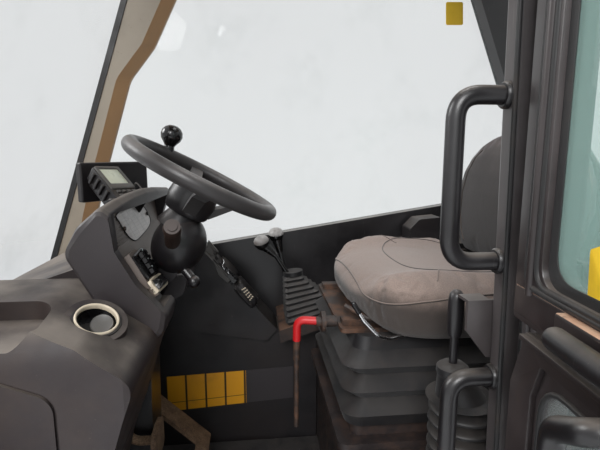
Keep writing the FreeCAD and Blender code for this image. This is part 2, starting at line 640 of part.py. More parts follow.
def dash_shelf():
    """Shelf between the pod and the front wall, carrying the display and the monitor."""
    top = [(617, 632), (617, 690), (374, 770), (362, 742), (340, 700), (420, 632)]
    body = slab_xz(top, -392, CONSOLE_Y[0] - FIT)
    body = body.cut(PARTS["dash_pod"]).cut(PARTS["front_wall"]).cut(PARTS["windscreen_seal"])
    keep("dash_shelf", biggest(body.cut(box(200, 350, -80, 80, 500, 900))))


def right_console():
    """Right-hand side console: a wall lining with a sloping switch strip and the lever tray behind it."""
    y0, y1 = RC_Y
    z0 = FLOOR_Z - MAT_T
    inner = -HALF_W + WALL
    wall = [(597, z0), (597, 628), (430, 628), (430, 700), (218, 712, 6), (24, 484, 8), (14, 470, 4),
            (-176, 530, 6), (-190, 500), (-190, SEAT_DECK_Z + FIT), (DECK_FRONT + 2, SEAT_DECK_Z + FIT), (DECK_FRONT + 2, z0)]
    body = slab_xz(wall, inner + 0.5, y1 - 8)
    strip = slab_xz([(430, 704), (222, 716, 6), (18, 478, 6), (46, 446, 8), (190, 470), (430, 520)], y1 - 60, y1 + 10)
    body = body.fuse(strip)
    body = body.cut(PARTS["pillar_front_right"]).cut(PARTS["dash_shelf"]).cut(PARTS["front_wall"])
    body = body.cut(PARTS["dash_pod"]).cut(PARTS["side_wall_right"])
    keep("side_console", biggest(body.removeSplitter()))
    # lever tray
    tray = slab_xz([(12, 468), (16, 502, 5), (-176, 562, 5), (-186, 532)], inner + 0.6, -210)
    tray = tray.cut(PARTS["side_console"])
    keep("lever_tray", biggest(tray))
    # switch plate on the slope, with its rockers, dial and handset
    way = V(-204, 0, -238).normalize()
    bits = []
    for along, width, depth, height, y in ((118, 224, 52, 3, -322), (40, 34, 30, 10, -330), (78, 26, 42, 8, -324),
                                           (118, 30, 26, 12, -318), (176, 76, 42, 18, -318)):
        c = V(222, 0, 716) + way * along
        b = Part.makeBox(width, depth, height + 4, V(-width / 2, -depth / 2, -4))
        b.rotate(V(0, 0, 0), V(0, 1, 0), -49.4)
        b.translate(V(c.x, y, c.z))
        bits.append(b)
    plate = bits[0].multiFuse(bits[1:]).removeSplitter().cut(PARTS["side_console"])
    keep("switch_plate", biggest(plate))


def levers():
    """Ribbed boot, skewed forward, with two crooked levers and bright-topped knobs."""
    sections = []
    for i in range(BOOT_RIBS * 2 + 1):
        t = i / (BOOT_RIBS * 2)
        swell = 5.0 if i % 2 == 0 else 0.0
        hx, hy = 78 - 52 * t - swell, 70 - 42 * t - swell
        cx, cy = -79 + 53 * t, -288 - 8 * t
        tilt = math.radians(17.3 - 9 * t)
        base = 531.5 + 100 * t
        pts = []
        for su, sv in ((-1, -1), (1, -1), (1, 1), (-1, 1)):
            pts.append((su * hx, sv * hy))

        def place(u, v, cx=cx, cy=cy, tilt=tilt, base=base):
            return V(cx + u * math.cos(tilt), cy + v, base - u * math.sin(tilt))
        sections.append(outline(pts, place, 12))
    boot = Part.makeLoft(sections, True, True)
    collar = Part.makeCylinder(27, 12, V(-30, -296, 632), V(0.12, 0, 1))
    boot = boot.fuse(collar)
    keep("lever_boot", biggest(boot.cut(PARTS["lever_tray"])))
    out = []
    for foot, knee, top in (((-36, -286, 634), (4, -292, 676), (50, -298, 716)),
                            ((-24, -308, 634), (-6, -318, 690), (16, -328, 732))):
        path = tube([foot, knee, top], 6.0, 30)
        way = (V(*top) - V(*knee)).normalize()
        neck = Part.makeCone(8, 13, 22, V(*top) - way * 18, way)
        ball = knob(V(*top) + way * 4, way, 17, 26)
        out.append(path.multiFuse([neck, ball]))
    for name, o in zip(("lever_main", "lever_auxiliary"), out):
        keep(name, biggest(o.cut(PARTS["lever_boot"])))


BOOT_RIBS = 8


def knob(at, way, r, height):
    """A flattened round knob."""
    half = height / 2
    pts = [(0, -half), (r * 0.72, -half), (r, -half * 0.35), (r, half * 0.35), (r * 0.72, half), (0, half)]
    body = Part.Face(outline(pts, to_xz(0))).revolve(V(0, 0, 0), V(0, 0, 1), 360)
    solid = Part.Solid(body.Shells[0]) if not body.Solids else body.Solids[0]
    soft = solid.makeFillet(min(3.0, r * 0.2), [e for e in solid.Edges if hasattr(e.Curve, "Radius")][:4])
    soft.Placement = FreeCAD.Placement(at, FreeCAD.Rotation(V(0, 0, 1), way))
    return soft


def steering():
    """Tilting column under an egg-shaped shroud, the wheel with dished spokes, and its spinner knob."""
    px, pz = COLUMN_PIVOT
    # fixed foot of the column
    post = slab_xz([(300, FLOOR_Z - MAT_T), (400, FLOOR_Z - MAT_T), (352, 610), (322, 668, 10), (300, 668, 10),
                    (290, 610)], -44, 44)
    slot = box(200, 400, -31, 31, 606, 700)
    pin = rod((px, -44, pz), (px, 44, pz), PIN_R)
    keep("column_foot", post.cut(slot).fuse(pin).removeSplitter())
    a, _ = wheel_axes()
    hub = V(*WHEEL_C) - a * HUB_DROP
    lug = rod((px, -30, pz), (px, 30, pz), 17)
    neck = slab_xz([(px - 16, pz), (px + 16, pz + 4), (288, 716), (250, 770), (205, 770), (262, 690)], -30, 30)
    shroud = egg()
    stem = rod(hub - a * 60, hub - a * 3, 20).fuse(rod(hub - a * 20, hub + a * 17, SHAFT_R))
    collar = Part.makeCone(46, 30, 34, hub - a * 38, a)
    tilt = rod((228, 22, 748), (206, 32, 722), 9)
    bulb = Part.makeSphere(12.5, V(201, 33, 714))
    body = shroud.multiFuse([lug, neck, stem, collar, tilt, bulb])
    body = body.cut(rod((px, -50, pz), (px, 50, pz), PIN_R + PIN_CLEAR))
    keep("column_shroud", body.removeSplitter())
    stalk = rod((238, 40, 794), (222, 128, 838), 15)
    way = (V(222, 128, 838) - V(238, 40, 794)).normalize()
    tip = V(222, 128, 838)
    stalk = stalk.fuse(Part.makeCone(16.5, 14, 14, tip, way)).fuse(Part.makeCylinder(9, 3, tip + way * 14, way))
    keep("column_stalk", biggest(stalk.cut(PARTS["column_shroud"])))
    wheel(a, hub)


def wheel_axes():
    """Direction of the steering shaft, and the forward direction in the wheel's plane."""
    lean = math.radians(COLUMN_TILT)
    return V(-math.sin(lean), 0, math.cos(lean)), V(math.cos(lean), 0, math.sin(lean))


def egg():
    """Rounded shroud, wider than deep, narrowing to the wheel."""
    ball = Part.makeSphere(1.0)
    m = FreeCAD.Matrix()
    m.scale(V(54, 60, 64))
    body = ball.transformGeometry(m)
    body.rotate(V(0, 0, 0), V(0, 1, 0), -26)
    body.translate(V(232, 0, 786))
    return body


def wheel(a, hub):
    centre = V(*WHEEL_C)
    e1, e2 = wheel_axes()[1], V(0, 1, 0)
    ring = Part.makeTorus(WHEEL_R, RIM_R, centre, a)
    hub_body = Part.makeCone(HUB_R, HUB_R - 6, 26, hub, a)
    cap = Part.makeCylinder(HUB_R - 12, 6, hub + a * 25, a)
    spokes = []
    for angle, wide in ((192.0, 30.0), (102.0, 27.0), (-78.0, 27.0)):
        c, s = math.cos(math.radians(angle)), math.sin(math.radians(angle))
        way = e1 * c + e2 * s
        side = a.cross(way)
        low, high = -HUB_DROP + 4, -HUB_DROP + 22
        profile = [(20, low), (46, low), (82, -32), (WHEEL_R - 6, -8), (WHEEL_R - 6, 4), (80, -20), (42, high), (20, high)]

        def place(u, v, way=way, side=side, wide=wide):
            return centre + way * u + a * v - side * (wide / 2)
        spokes.append(Part.Face(outline(profile, place)).extrude(side * wide))
    bore = rod(hub - a, hub + a * 18, SHAFT_R + PIN_CLEAR)
    body = ring.multiFuse([hub_body, cap] + spokes).cut(bore)
    keep("steering_wheel", body.removeSplitter())
    c, s = math.cos(math.radians(76)), math.sin(math.radians(76))
    foot = centre + (e1 * c + e2 * s) * WHEEL_R
    clamp = Part.makeCylinder(12, 22, foot + a * 6, a)
    neck = Part.makeCone(8, 11, 26, foot + a * 26, a)
    ball = knob(foot + a * 58, a, 18, 34)
    keep("spinner_knob", biggest(clamp.multiFuse([neck, ball]).cut(ring)))


def seat():
    """Suspension seat: fixed bellows and slide rails, the sliding pan and the reclining back."""
    x0, x1 = SEAT_X - BELLOWS_L / 2, SEAT_X + BELLOWS_L / 2
    hw = BELLOWS_W / 2
    z_low, z_high = BELLOWS_Z
    levels = []
    pitch = (z_high - z_low) / (BELLOWS_FOLDS * 2 + 1)
    for i in range(BELLOWS_FOLDS * 2 + 2):
        deep = 0.0 if i % 2 == 1 else BELLOWS_DEEP
        if i == 0:
            deep = 8.0
        if i == BELLOWS_FOLDS * 2 + 1:
            deep = 30.0
        z = z_low + pitch * i
        levels.append(outline(rect(x0 + deep, x1 - deep, -hw + deep, hw - deep), to_xy(z), 34 - deep * 0.3))
    keep("seat_bellows", Part.makeLoft(levels, True, True))
    top = slab_xy(rect(x0 + 34, x1 - 4, -150, 150), z_high, z_high + 8, 10)
    rails = [box(x0 + 40, x1 - 10, s * 118 - 13, s * 118 + 13, z_high + 8, z_high + 18) for s in (-1, 1)]
    top = top.multiFuse(rails)
    keep("seat_rails", top.removeSplitter())
    # weight adjuster and the lever with its sleeve
    z = z_high + 4
    flange = rod((x1 - 4, 96, z), (x1 + 18, 96, z), 11)
    disc = rod((x1 + 18, 96, z), (x1 + 26, 96, z), 20)
    small = rod((x1 + 26, 96, z), (x1 + 36, 96, z), 9)
    hook = tube([(x1 + 20, 96, z), (x1 + 72, 86, z + 2), (x1 + 72, 72, 556)], 6.5, 18)
    arm = rod((x1 + 72, 72, 560), (x1 + 72, 66, 405), 5.0)
    keep("seat_adjuster", flange.multiFuse([disc, small, hook, arm]).removeSplitter())
    # sliding pan
    z = z_high + 18
    pan = slab_xy(rect(CUSHION_REAR - 6, CUSHION_NOSE - 58, -190, 190), z + 6, z + 14, 30)
    shoes = [box(x, x + 60, s * 118 - 20, s * 118 + 20, z + 0.4, z + 6) for x in (-425, -220) for s in (-1, 1)]
    ears = [slab_xz([(CUSHION_REAR + 30, z + 6), (CUSHION_REAR + 30, z + 14), (BACK_PIVOT[0] + 14, BACK_PIVOT[1] + 16, 8),
                     (BACK_PIVOT[0] - 16, BACK_PIVOT[1] + 16, 8), (BACK_PIVOT[0] - 16, z + 6, 6)],
                    min(s * 196, s * 204), max(s * 196, s * 204)) for s in (-1, 1)]
    webs = [box(CUSHION_REAR - 6, CUSHION_REAR + 30, min(s * 180, s * 204), max(s * 180, s * 204), z + 6, z + 14)
            for s in (-1, 1)]
    pin = rod((BACK_PIVOT[0], -204, BACK_PIVOT[1]), (BACK_PIVOT[0], 204, BACK_PIVOT[1]), PIN_R)
    lever = tube([(-196, 150, z + 10), (-128, 150, z + 10), (-88, 132, z + 30)], 4.5, 12)
    keep("seat_pan", pan.multiFuse(shoes + ears + webs + [pin, lever]).removeSplitter())
    levels = []
    for zc, nose, rear, half, r in ((z + 14, CUSHION_NOSE - 66, CUSHION_REAR + 6, 178, 50),
                                    (z + 30, CUSHION_NOSE - 26, CUSHION_REAR + 2, 226, 70),
                                    (z + 52, CUSHION_NOSE - 2, CUSHION_REAR, CUSHION_HALF_W, 80),
                                    (z + 74, CUSHION_NOSE - 12, CUSHION_REAR, CUSHION_HALF_W - 12, 80),
                                    (z + 86, CUSHION_NOSE - 52, CUSHION_REAR + 20, CUSHION_HALF_W - 46, 70)):
        levels.append(outline(rect(rear, nose, -half, half), to_xy(zc), r))
    cushion = Part.makeLoft(levels, True, True)
    keep("seat_cushion", cushion.cut(PARTS["seat_pan"]))
    # back
    bx, bz = BACK_PIVOT
    levels = []
    for h, front, rear, half, r in ((22, 26, -30, 180, 20), (90, 36, -34, 222, 28), (250, 26, -34, BACK_HALF_W, 28),
                                    (400, 18, -32, 215, 24), (430, 4, -26, 170, 14)):
        levels.append(outline(rect(bx + rear, bx + front, -half, half), to_xy(bz + h), r))
    pad = Part.makeLoft(levels, True, True)
    shell = slab_yz([(-190, bz + 40, 40), (190, bz + 40, 40), (206, bz + 250, 80), (180, bz + 392, 90),
                     (-180, bz + 392, 90), (-206, bz + 250, 80)], bx - 52, bx - 30)
    arms = []
    for s in (-1, 1):
        y0, y1 = min(s * 184, s * 194), max(s * 184, s * 194)
        arms.append(slab_xz([(bx - 16, bz - 16, 14), (bx + 16, bz - 16, 14), (bx + 14, bz + 64), (bx - 40, bz + 64)], y0, y1))
    bore = rod((bx, -220, bz), (bx, 220, bz), PIN_R + PIN_CLEAR)
    tie = box(bx - 40, bx - 30, -194, 194, bz + 44, bz + 64)
    shell = shell.multiFuse(arms + [tie]).cut(bore).removeSplitter()
    axis = ((bx, 0, bz), (0, 1, 0), -BACK_LEAN)
    keep("back_shell", turned(shell, *axis))
    keep("back_cushion", biggest(turned(pad.cut(shell), *axis)))


def park_brake():
    """Hand brake on its convoluted boot, left of the seat."""
    x, y = -238, 320
    z0 = SEAT_DECK_Z
    pts = [(0, z0), (54, z0), (54, z0 + 8)]
    for i in range(6):
        z = z0 + 12 + i * 31
        pts += [(40, z), (51, z + 7), (51, z + 22), (40, z + 29)]
    pts += [(34, z0 + 206), (24, z0 + 226), (0, z0 + 226)]
    boot = Part.Face(outline([(x + p[0], p[1]) for p in pts], to_xz(y))).revolve(V(x, y, 0), V(0, 0, 1), 360)
    keep("brake_boot", boot)
    grip = [(0, 0), (17, 4, 4), (19, 60, 20), (16, 84, 14), (0, 86)]
    way = V(0.28, 0.02, 0.96).normalize()
    body = Part.Face(outline(grip, to_xz(0))).revolve(V(0, 0, 0), V(0, 0, 1), 360)
    top = V(x, y, z0 + 226)
    body.Placement = FreeCAD.Placement(top + way * 34, FreeCAD.Rotation(V(0, 0, 1), way))
    stem = Part.makeCylinder(9, 44, top - V(0, 0, 4), way)
    keep("brake_lever", biggest(stem.fuse(body).cut(boot)))


def pedals():
    """Long hinged accelerator plate and a square brake pad on its arm."""
    plate = slab_xz([(210, 206), (352, 344), (346, 351), (204, 214)], -215, -145)
    foot = slab_xz([(222, FLOOR_Z - 4), (250, FLOOR_Z - 4), (238, 226), (226, 222)], -206, -154)
    keep("accelerator", plate.fuse(foot).removeSplitter().cut(PARTS["floor_mat"]))
    pad = slab_yz([(24, 360, 14), (104, 360, 14), (104, 424, 14), (24, 424, 14)], 276, 286)
    arm = tube([(284, 64, 392), (330, 64, 392), (410, 64, 545), (622, 64, 545)], 9, 30)
    keep("brake_pedal", biggest(pad.fuse(arm).cut(PARTS["front_wall"])))


def small_things():
    """Blank plates, cable, display, monitor, rear cabinet and the box on it."""
    y = RC_Y[1] - 8
    plates = [slab_xz([(334, 236), (-28, 258), (-28, 356), (108, 350), (334, 342)], y, y + 0.6)]
    for i in range(4):
        x = 332 - i * 55.5
        field = [(x, 238 + i * 4), (x - 52, 241 + i * 4), (x - 52, 341 + i * 3), (x, 338 + i * 3)]
        plates.append(slab_xz(field, y, y + 1.4))
    plates.append(slab_xz([(106, 258), (-26, 264), (-26, 350), (106, 346)], y, y + 1.0))
    keep("label_plates", plates[0].multiFuse(plates[1:]))
    cab = slab_xy(rect(-800, -300, -HALF_W + WALL + 1, -275), SEAT_DECK_Z, 716, 16).cut(PARTS["rear_wall"])
    keep("rear_cabinet", cab.cut(PARTS["side_wall_right"]))
    device = slab_xz([(-372, 716), (-372, 752, 10), (-400, 780, 14), (-470, 786, 10), (-480, 716)], -388, -318)
    keep("rear_box", device)
    body = Part.makeBox(76, 104, 34, V(-38, -52, -17))
    body = body.makeFillet(7, [e for e in body.Edges if e.Length > 70])
    body = body.cut(Part.makeBox(44, 84, 4, V(-20, -44, 15.5)))
    dial = Part.makeCylinder(12, 14, V(24, 46, 1), V(0, 1, 0))
    unit = body.fuse(dial)
    unit.rotate(V(0, 0, 0), V(0, 1, 0), -38)
    unit.translate(V(352, -20, 905))
    stand = box(340, 366, -36, -8, 780, 896).cut(unit).cut(PARTS["dash_pod"]).cut(PARTS["dash_shelf"])
    keep("display_unit", unit.fuse(biggest(stand)).cut(PARTS["dash_pod"]))
    mon = Part.makeBox(18, 170, 84, V(-9, -85, -42))
    mon = mon.makeFillet(4, mon.Edges)
    mon.rotate(V(0, 0, 0), V(0, 0, 1), -38.7)
    mon.translate(V(390, -130, 908))
    leg = box(388, 400, -140, -122, 740, 900).cut(mon).cut(PARTS["dash_shelf"]).cut(PARTS["dash_pod"])
    monitor = mon.fuse(biggest(leg)).removeSplitter().cut(PARTS["dash_pod"])
    keep("monitor", biggest(monitor))


def build():
    base_frame()
    frame()
    side_walls()
    door()
    grab_handles()
    headliner()
    roof()
    glazing()
    front_console()
    dash()
    right_console()
    levers()
    steering()
    seat_deck()
    seat()
    park_brake()
    floor_mat()
    pedals()
    small_things()


build()
os.makedirs("parts", exist_ok=True)
for node, solid in PARTS.items():
    solid.exportStep(os.path.join("parts", node + ".step"))
print(len(PARTS), "nodes")
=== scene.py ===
"""Telehandler cab: finishes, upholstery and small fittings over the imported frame, with its camera and studio."""
import math

import bmesh
import bpy
from mathutils import Matrix, Vector
from mathutils.bvhtree import BVHTree


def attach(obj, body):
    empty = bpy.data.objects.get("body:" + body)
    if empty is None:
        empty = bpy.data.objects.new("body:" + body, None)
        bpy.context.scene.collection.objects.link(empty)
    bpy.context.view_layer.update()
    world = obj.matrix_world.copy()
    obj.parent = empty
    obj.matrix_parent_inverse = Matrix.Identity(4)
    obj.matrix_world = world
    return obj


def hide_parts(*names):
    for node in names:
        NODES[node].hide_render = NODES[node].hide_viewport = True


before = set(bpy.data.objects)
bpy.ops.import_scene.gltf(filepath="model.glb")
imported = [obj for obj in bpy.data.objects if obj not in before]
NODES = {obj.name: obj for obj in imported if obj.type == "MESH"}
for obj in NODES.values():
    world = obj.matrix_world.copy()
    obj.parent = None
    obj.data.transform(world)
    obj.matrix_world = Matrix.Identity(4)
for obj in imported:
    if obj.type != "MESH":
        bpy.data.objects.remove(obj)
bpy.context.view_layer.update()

# ---------------------------------------------------------------- camera and studio

EYE = Vector((0.08, 0.93, 0.97))
TURN, DIP = math.radians(6.0), math.radians(9.07)    # towards the rear, and down
LENS = 27.06


AHEAD = Vector((-math.sin(TURN) * math.cos(DIP), -math.cos(TURN) * math.cos(DIP), -math.sin(DIP)))
RIGHT = Vector((-math.cos(TURN), math.sin(TURN), 0.0))
UP = RIGHT.cross(AHEAD)
PICTURE = (600, 450)                  # the image that the picture points are measured in
FOCUS = LENS / 36.0 * PICTURE[0]


def camera():
    data = bpy.data.cameras.new("camera")
    data.lens, data.sensor_width, data.sensor_fit = LENS, 36.0, "HORIZONTAL"
    data.clip_start, data.clip_end = 0.02, 200.0
    cam = bpy.data.objects.new("camera", data)
    cam.matrix_world = Matrix.Translation(EYE) @ Matrix((RIGHT, UP, -AHEAD)).transposed().to_4x4()
    bpy.context.scene.collection.objects.link(cam)
    bpy.context.scene.camera = cam


def lamp(name, at, towards, size, watts, colour=(1, 1, 1)):
    data = bpy.data.lights.new(name, "AREA")
    data.shape, data.size, data.energy, data.color = "DISK", size, watts, colour
    obj = bpy.data.objects.new(name, data)
    obj.location = at
    obj.rotation_mode = "QUATERNION"
    obj.rotation_quaternion = (Vector(towards) - Vector(at)).to_track_quat("-Z", "Y")
    bpy.context.scene.collection.objects.link(obj)


# ---------------------------------------------------------------- node trees written as maths

def linear(*rgb):
    """A colour given as 0 to 255 display values."""
    return tuple((c / 255 / 12.92) if c <= 10 else ((c / 255 + 0.055) / 1.055) ** 2.4 for c in rgb) + (1.0,)


class Val:
    """A socket in a node tree; sums and products of it add the maths nodes."""

    def __init__(self, tree, socket):
        self.tree, self.socket = tree, socket

    def _math(self, kind, *terms, clamp=False):
        n = self.tree.nodes.new("ShaderNodeMath")
        n.operation, n.use_clamp = kind, clamp
        for slot, term in zip(n.inputs, terms):
            feed(self.tree, slot, term)
        return Val(self.tree, n.outputs[0])

    def __add__(self, other):
        return self._math("ADD", self, other)

    __radd__ = __add__

    def __sub__(self, other):
        return self._math("SUBTRACT", self, other)

    def __rsub__(self, other):
        return self._math("SUBTRACT", other, self)

    def __mul__(self, other):
        return self._math("MULTIPLY", self, other)

    __rmul__ = __mul__

    def __truediv__(self, other):
        return self._math("DIVIDE", self, other)

    def __pow__(self, other):
        return self._math("POWER", self, other)

    def __gt__(self, other):
        return self._math("GREATER_THAN", self, other)

    def __lt__(self, other):
        return self._math("LESS_THAN", self, other)

    def sin(self):
        return self._math("SINE", self)

    def abs(self):
        return self._math("ABSOLUTE", self)

    def frac(self):
        return self._math("FRACT", self)

    def least(self, other):
        return self._math("MINIMUM", self, other)

    def most(self, other):
        return self._math("MAXIMUM", self, other)

    def clamp(self):
        return self._math("ADD", self, 0.0, clamp=True)


def feed(tree, slot, value):
    if isinstance(value, Val):
        tree.links.new(value.socket, slot)
    else:
        slot.default_value = value


class Finish:
    """One material: a principled shader, fed with patterns in object coordinates."""

    def __init__(self, name, **fixed):
        self.material = bpy.data.materials.new(name)
        self.material.use_nodes = True
        self.tree = self.material.node_tree
        self.shader = self.tree.nodes["Principled BSDF"]
        for slot, value in fixed.items():
            self.shader.inputs[slot.replace("_", " ")].default_value = value
        self.place = self.node("ShaderNodeTexCoord", "Object")

    def node(self, kind, out=0, inputs=(), **settings):
        n = self.tree.nodes.new(kind)
        for key, value in settings.items():
            setattr(n, key, value)
        for key, value in dict(inputs).items():
            feed(self.tree, n.inputs[key], value)
        return Val(self.tree, n.outputs[out])

    def stretch(self, scale, turn=(0, 0, 0), shift=(0, 0, 0)):
        return self.node("ShaderNodeMapping", 0, {"Vector": self.place, "Scale": scale, "Rotation": turn, "Location": shift})

    def noise(self, scale, detail=3.0, rough=0.55, place=None):
        return self.node("ShaderNodeTexNoise", "Fac", {"Vector": place or self.place, "Scale": scale, "Detail": detail, "Roughness": rough})

    def cells(self, scale, place=None, out="Distance", feature="F1"):
        return self.node("ShaderNodeTexVoronoi", out, {"Vector": place or self.place, "Scale": scale}, feature=feature)

    def axes(self):
        n = self.tree.nodes.new("ShaderNodeSeparateXYZ")
        feed(self.tree, n.inputs[0], self.place)
        return [Val(self.tree, s) for s in n.outputs]

    def normal(self):
        geometry = self.node("ShaderNodeNewGeometry", "Normal")
        n = self.tree.nodes.new("ShaderNodeSeparateXYZ")
        feed(self.tree, n.inputs[0], geometry)
        return [Val(self.tree, s) for s in n.outputs]

    def ramp(self, value, low, high):
        """0 below low and 1 above high, smooth between."""
        return self.node("ShaderNodeMapRange", 0, {"Value": value, "From Min": low, "From Max": high},
                         interpolation_type="SMOOTHSTEP")

    def mix(self, share, first, second):
        """A colour that goes from first to second."""
        n = self.tree.nodes.new("ShaderNodeMix")
        n.data_type = "RGBA"
        for slot, value in zip((n.inputs[0], n.inputs[6], n.inputs[7]), (share, first, second)):
            feed(self.tree, slot, value)
        return Val(self.tree, n.outputs[2])

    def set(self, **inputs):
        for key, value in inputs.items():
            feed(self.tree, self.shader.inputs[key.replace("_", " ")], value)

    def bump(self, millimetres, strength=1.0):
        """Relief whose height is given in millimetres."""
        self.set(Normal=self.node("ShaderNodeBump", 0, {"Height": millimetres, "Distance": 0.001, "Strength": strength}))
        return self

    def dust(self, low=0.35, high=0.95, scale=9.0, amount=1.0):
        """Share of dust: on faces that look up, in soft patches."""
        up = self.ramp(self.normal()[2], low, high)
        return (up * self.ramp(self.noise(scale, 5.0), 0.25, 0.62) * amount).clamp()


# ---------------------------------------------------------------- finishes

DUST = linear(150, 140, 130)
RUST = linear(140, 82, 48)


def black_paint(name="black_paint", base=(30, 27, 28), worn=0.5):
    """Satin black paint on steel: brown where it has rubbed through, with fine scratches and dust on ledges."""
    f = Finish(name, Metallic=0.0, Coat_Roughness=0.25)
    patch = f.noise(7.0, 6.0, 0.65)
    rub = f.ramp(f.noise(38.0, 6.0, 0.7), 0.66, 0.76) * f.ramp(patch, 0.45, 0.7) * worn
    scratch = f.noise(60.0, 2.0, place=f.stretch((6.0, 6.0, 0.25)))
    line = f.ramp(scratch, 0.69, 0.73) * 0.35 * worn
    colour = f.mix(f.ramp(patch, 0.3, 0.75), linear(*base), linear(*(c + 16 for c in base)))
    colour = f.mix(rub, colour, RUST)
    colour = f.mix(line, colour, linear(150, 145, 140))
    colour = f.mix(f.dust(0.4, 0.95) * 0.4, colour, DUST)
    f.set(Base_Color=colour, Roughness=f.ramp(patch, 0.2, 0.8) * 0.2 + 0.3 + rub * 0.3, Coat_Weight=0.25)
    f.bump(f.noise(420.0, 2.0) * 0.05 - rub * 0.06)
    return f.material


def moulded(name, base=(46, 40, 40), dusty=1.0, grain=0.1, rough=0.48, warm=(64, 52, 46)):
    """Grained dark plastic, browner in patches and grey with dust where it looks up."""
    f = Finish(name)
    patch = f.noise(4.5, 5.0, 0.6)
    smear = f.noise(16.0, 4.0, 0.6, f.stretch((1.0, 0.35, 1.0), (0.3, 0.2, 0.6)))
    colour = f.mix(f.ramp(patch, 0.35, 0.7), linear(*base), linear(*warm))
    haze = f.dust(0.45, 0.98, 6.0, dusty)
    colour = f.mix((haze * (smear * 0.6 + 0.45)).clamp(), colour, DUST)
    colour = f.mix(f.ramp(f.noise(130.0, 3.0), 0.68, 0.8) * 0.3 * dusty, colour, linear(130, 118, 104))
    f.set(Base_Color=colour, Roughness=f.ramp(smear, 0.3, 0.7) * 0.14 + rough + haze * 0.2)
    f.bump((f.cells(900.0) * 0.7 + f.noise(1500.0, 2.0) * 0.5) * grain)
    return f.material


def glass(name, tint, alpha, rough=0.02):
    f = Finish(name, Roughness=rough, IOR=1.5, Specular_IOR_Level=0.6)
    film = f.ramp(f.noise(5.0, 5.0, 0.6), 0.45, 0.8)
    f.set(Base_Color=linear(*tint), Alpha=(film * 0.06 + alpha).clamp())
    f.material.surface_render_method = "BLENDED"
    return f.material


def rubber(name, base=(26, 24, 24), dusty=0.8):
    f = Finish(name, Sheen_Weight=0.08, Sheen_Roughness=0.5)
    patch = f.noise(12.0, 5.0, 0.65)
    colour = f.mix(f.dust(0.05, 0.9, 14.0, dusty), linear(*base), linear(112, 104, 97))
    colour = f.mix(f.ramp(patch, 0.5, 0.75) * 0.3, colour, linear(70, 58, 50))
    f.set(Base_Color=colour, Roughness=f.ramp(patch, 0.3, 0.8) * 0.25 + 0.42)
    f.bump(f.noise(520.0, 3.0) * 0.12)
    return f.material


def cloth(name, base=(150, 132, 122), second=(104, 90, 84)):
    """Woven seat fabric: irregular close weave, flecks and worn-in grey dirt, and painted shade that darkens the sides.
    """
    f = Finish(name, Roughness=0.92, Sheen_Weight=0.2, Sheen_Roughness=0.6, Specular_IOR_Level=0.25)
    weave = f.cells(760.0, f.stretch((1.0, 1.0, 1.5), (0.5, 0.3, 0.7)))
    fleck = f.noise(520.0, 2.0)
    soil = f.noise(9.0, 5.0, 0.6)
    up = f.ramp(f.normal()[2], 0.0, 0.78)
    colour = f.mix(f.ramp(weave, 0.15, 0.75) * 0.5, linear(*base), linear(*second))
    colour = f.mix(f.ramp(fleck, 0.5, 0.8) * 0.22, colour, linear(*(c * 0.6 for c in second)))
    colour = f.mix(f.ramp(soil, 0.42, 0.74) * 0.3, colour, linear(140, 130, 124))
    # painted shade: every face that turns away from straight up is darkened towards a third of the base colour
    colour = f.mix((1.0 - up) * 0.95, colour, linear(*(c * 0.36 for c in base)))
    f.set(Base_Color=colour)
    f.bump(weave * -0.25 + f.noise(60.0, 3.0) * 0.3)
    return f.material


def trim_plastic():
    """Pillar lining: cream grey on the faces that look inward, tan on the faces that look back as painted shade with a
    painted warm reflection, black below the sill.
    """
    f = Finish("pillar_lining", Roughness=0.55)
    nx, ny, nz = f.normal()
    # painted shade with a painted warm reflection: faces that look back (-X) turn from cream grey to tan
    back = f.ramp(nx * -1.0, 0.25, 0.6)
    patch = f.noise(5.0, 5.0, 0.6)
    colour = f.mix(back, linear(150, 139, 124), linear(166, 128, 88))
    colour = f.mix(f.ramp(patch, 0.45, 0.75) * 0.4, colour, linear(104, 94, 84))
    colour = f.mix(f.ramp(f.noise(90.0, 4.0), 0.66, 0.78) * 0.4, colour, linear(84, 72, 62))
    colour = f.mix(f.ramp(f.axes()[2], 0.61, 0.6), colour, linear(18, 16, 18))
    f.set(Base_Color=colour)
    f.bump(f.noise(1100.0, 2.0) * 0.07)
    return f.material


def door_paint(name="door_paint", worn_top=0.0):
    """Worn black paint of the door leaves; worn_top rubs what faces up to bare rusty metal, as on the rail."""
    f = Finish(name, Coat_Roughness=0.25)
    height = f.axes()[2]
    patch = f.noise(7.0, 6.0, 0.65)
    fine = f.noise(46.0, 6.0, 0.7)
    rub = f.ramp(fine, 0.64, 0.74) * f.ramp(patch, 0.45, 0.7) * 0.4
    band = f.ramp(height, 0.822, 0.829) * worn_top
    worn = (band * f.ramp(fine, 0.3, 0.46) * f.ramp(f.normal()[2], 0.3, 0.8)).clamp()
    streak = f.ramp(f.noise(70.0, 3.0, place=f.stretch((0.2, 0.2, 4.0))), 0.62, 0.72) * band * 0.5
    colour = f.mix(f.ramp(patch, 0.3, 0.75), linear(36, 30, 30), linear(54, 47, 47))
    colour = f.mix(rub, colour, RUST)
    colour = f.mix(streak, colour, linear(160, 140, 128))
    colour = f.mix(worn, colour, f.mix(f.ramp(f.noise(30.0, 4.0), 0.4, 0.65), linear(204, 160, 128), linear(168, 104, 62)))
    colour = f.mix(f.dust(0.4, 0.95) * 0.3, colour, DUST)
    f.set(Base_Color=colour, Roughness=f.ramp(patch, 0.2, 0.8) * 0.2 + 0.32 + worn * 0.3, Coat_Weight=0.2)
    f.bump(f.noise(420.0, 2.0) * 0.05 - rub * 0.06 - worn * 0.08)
    return f.material


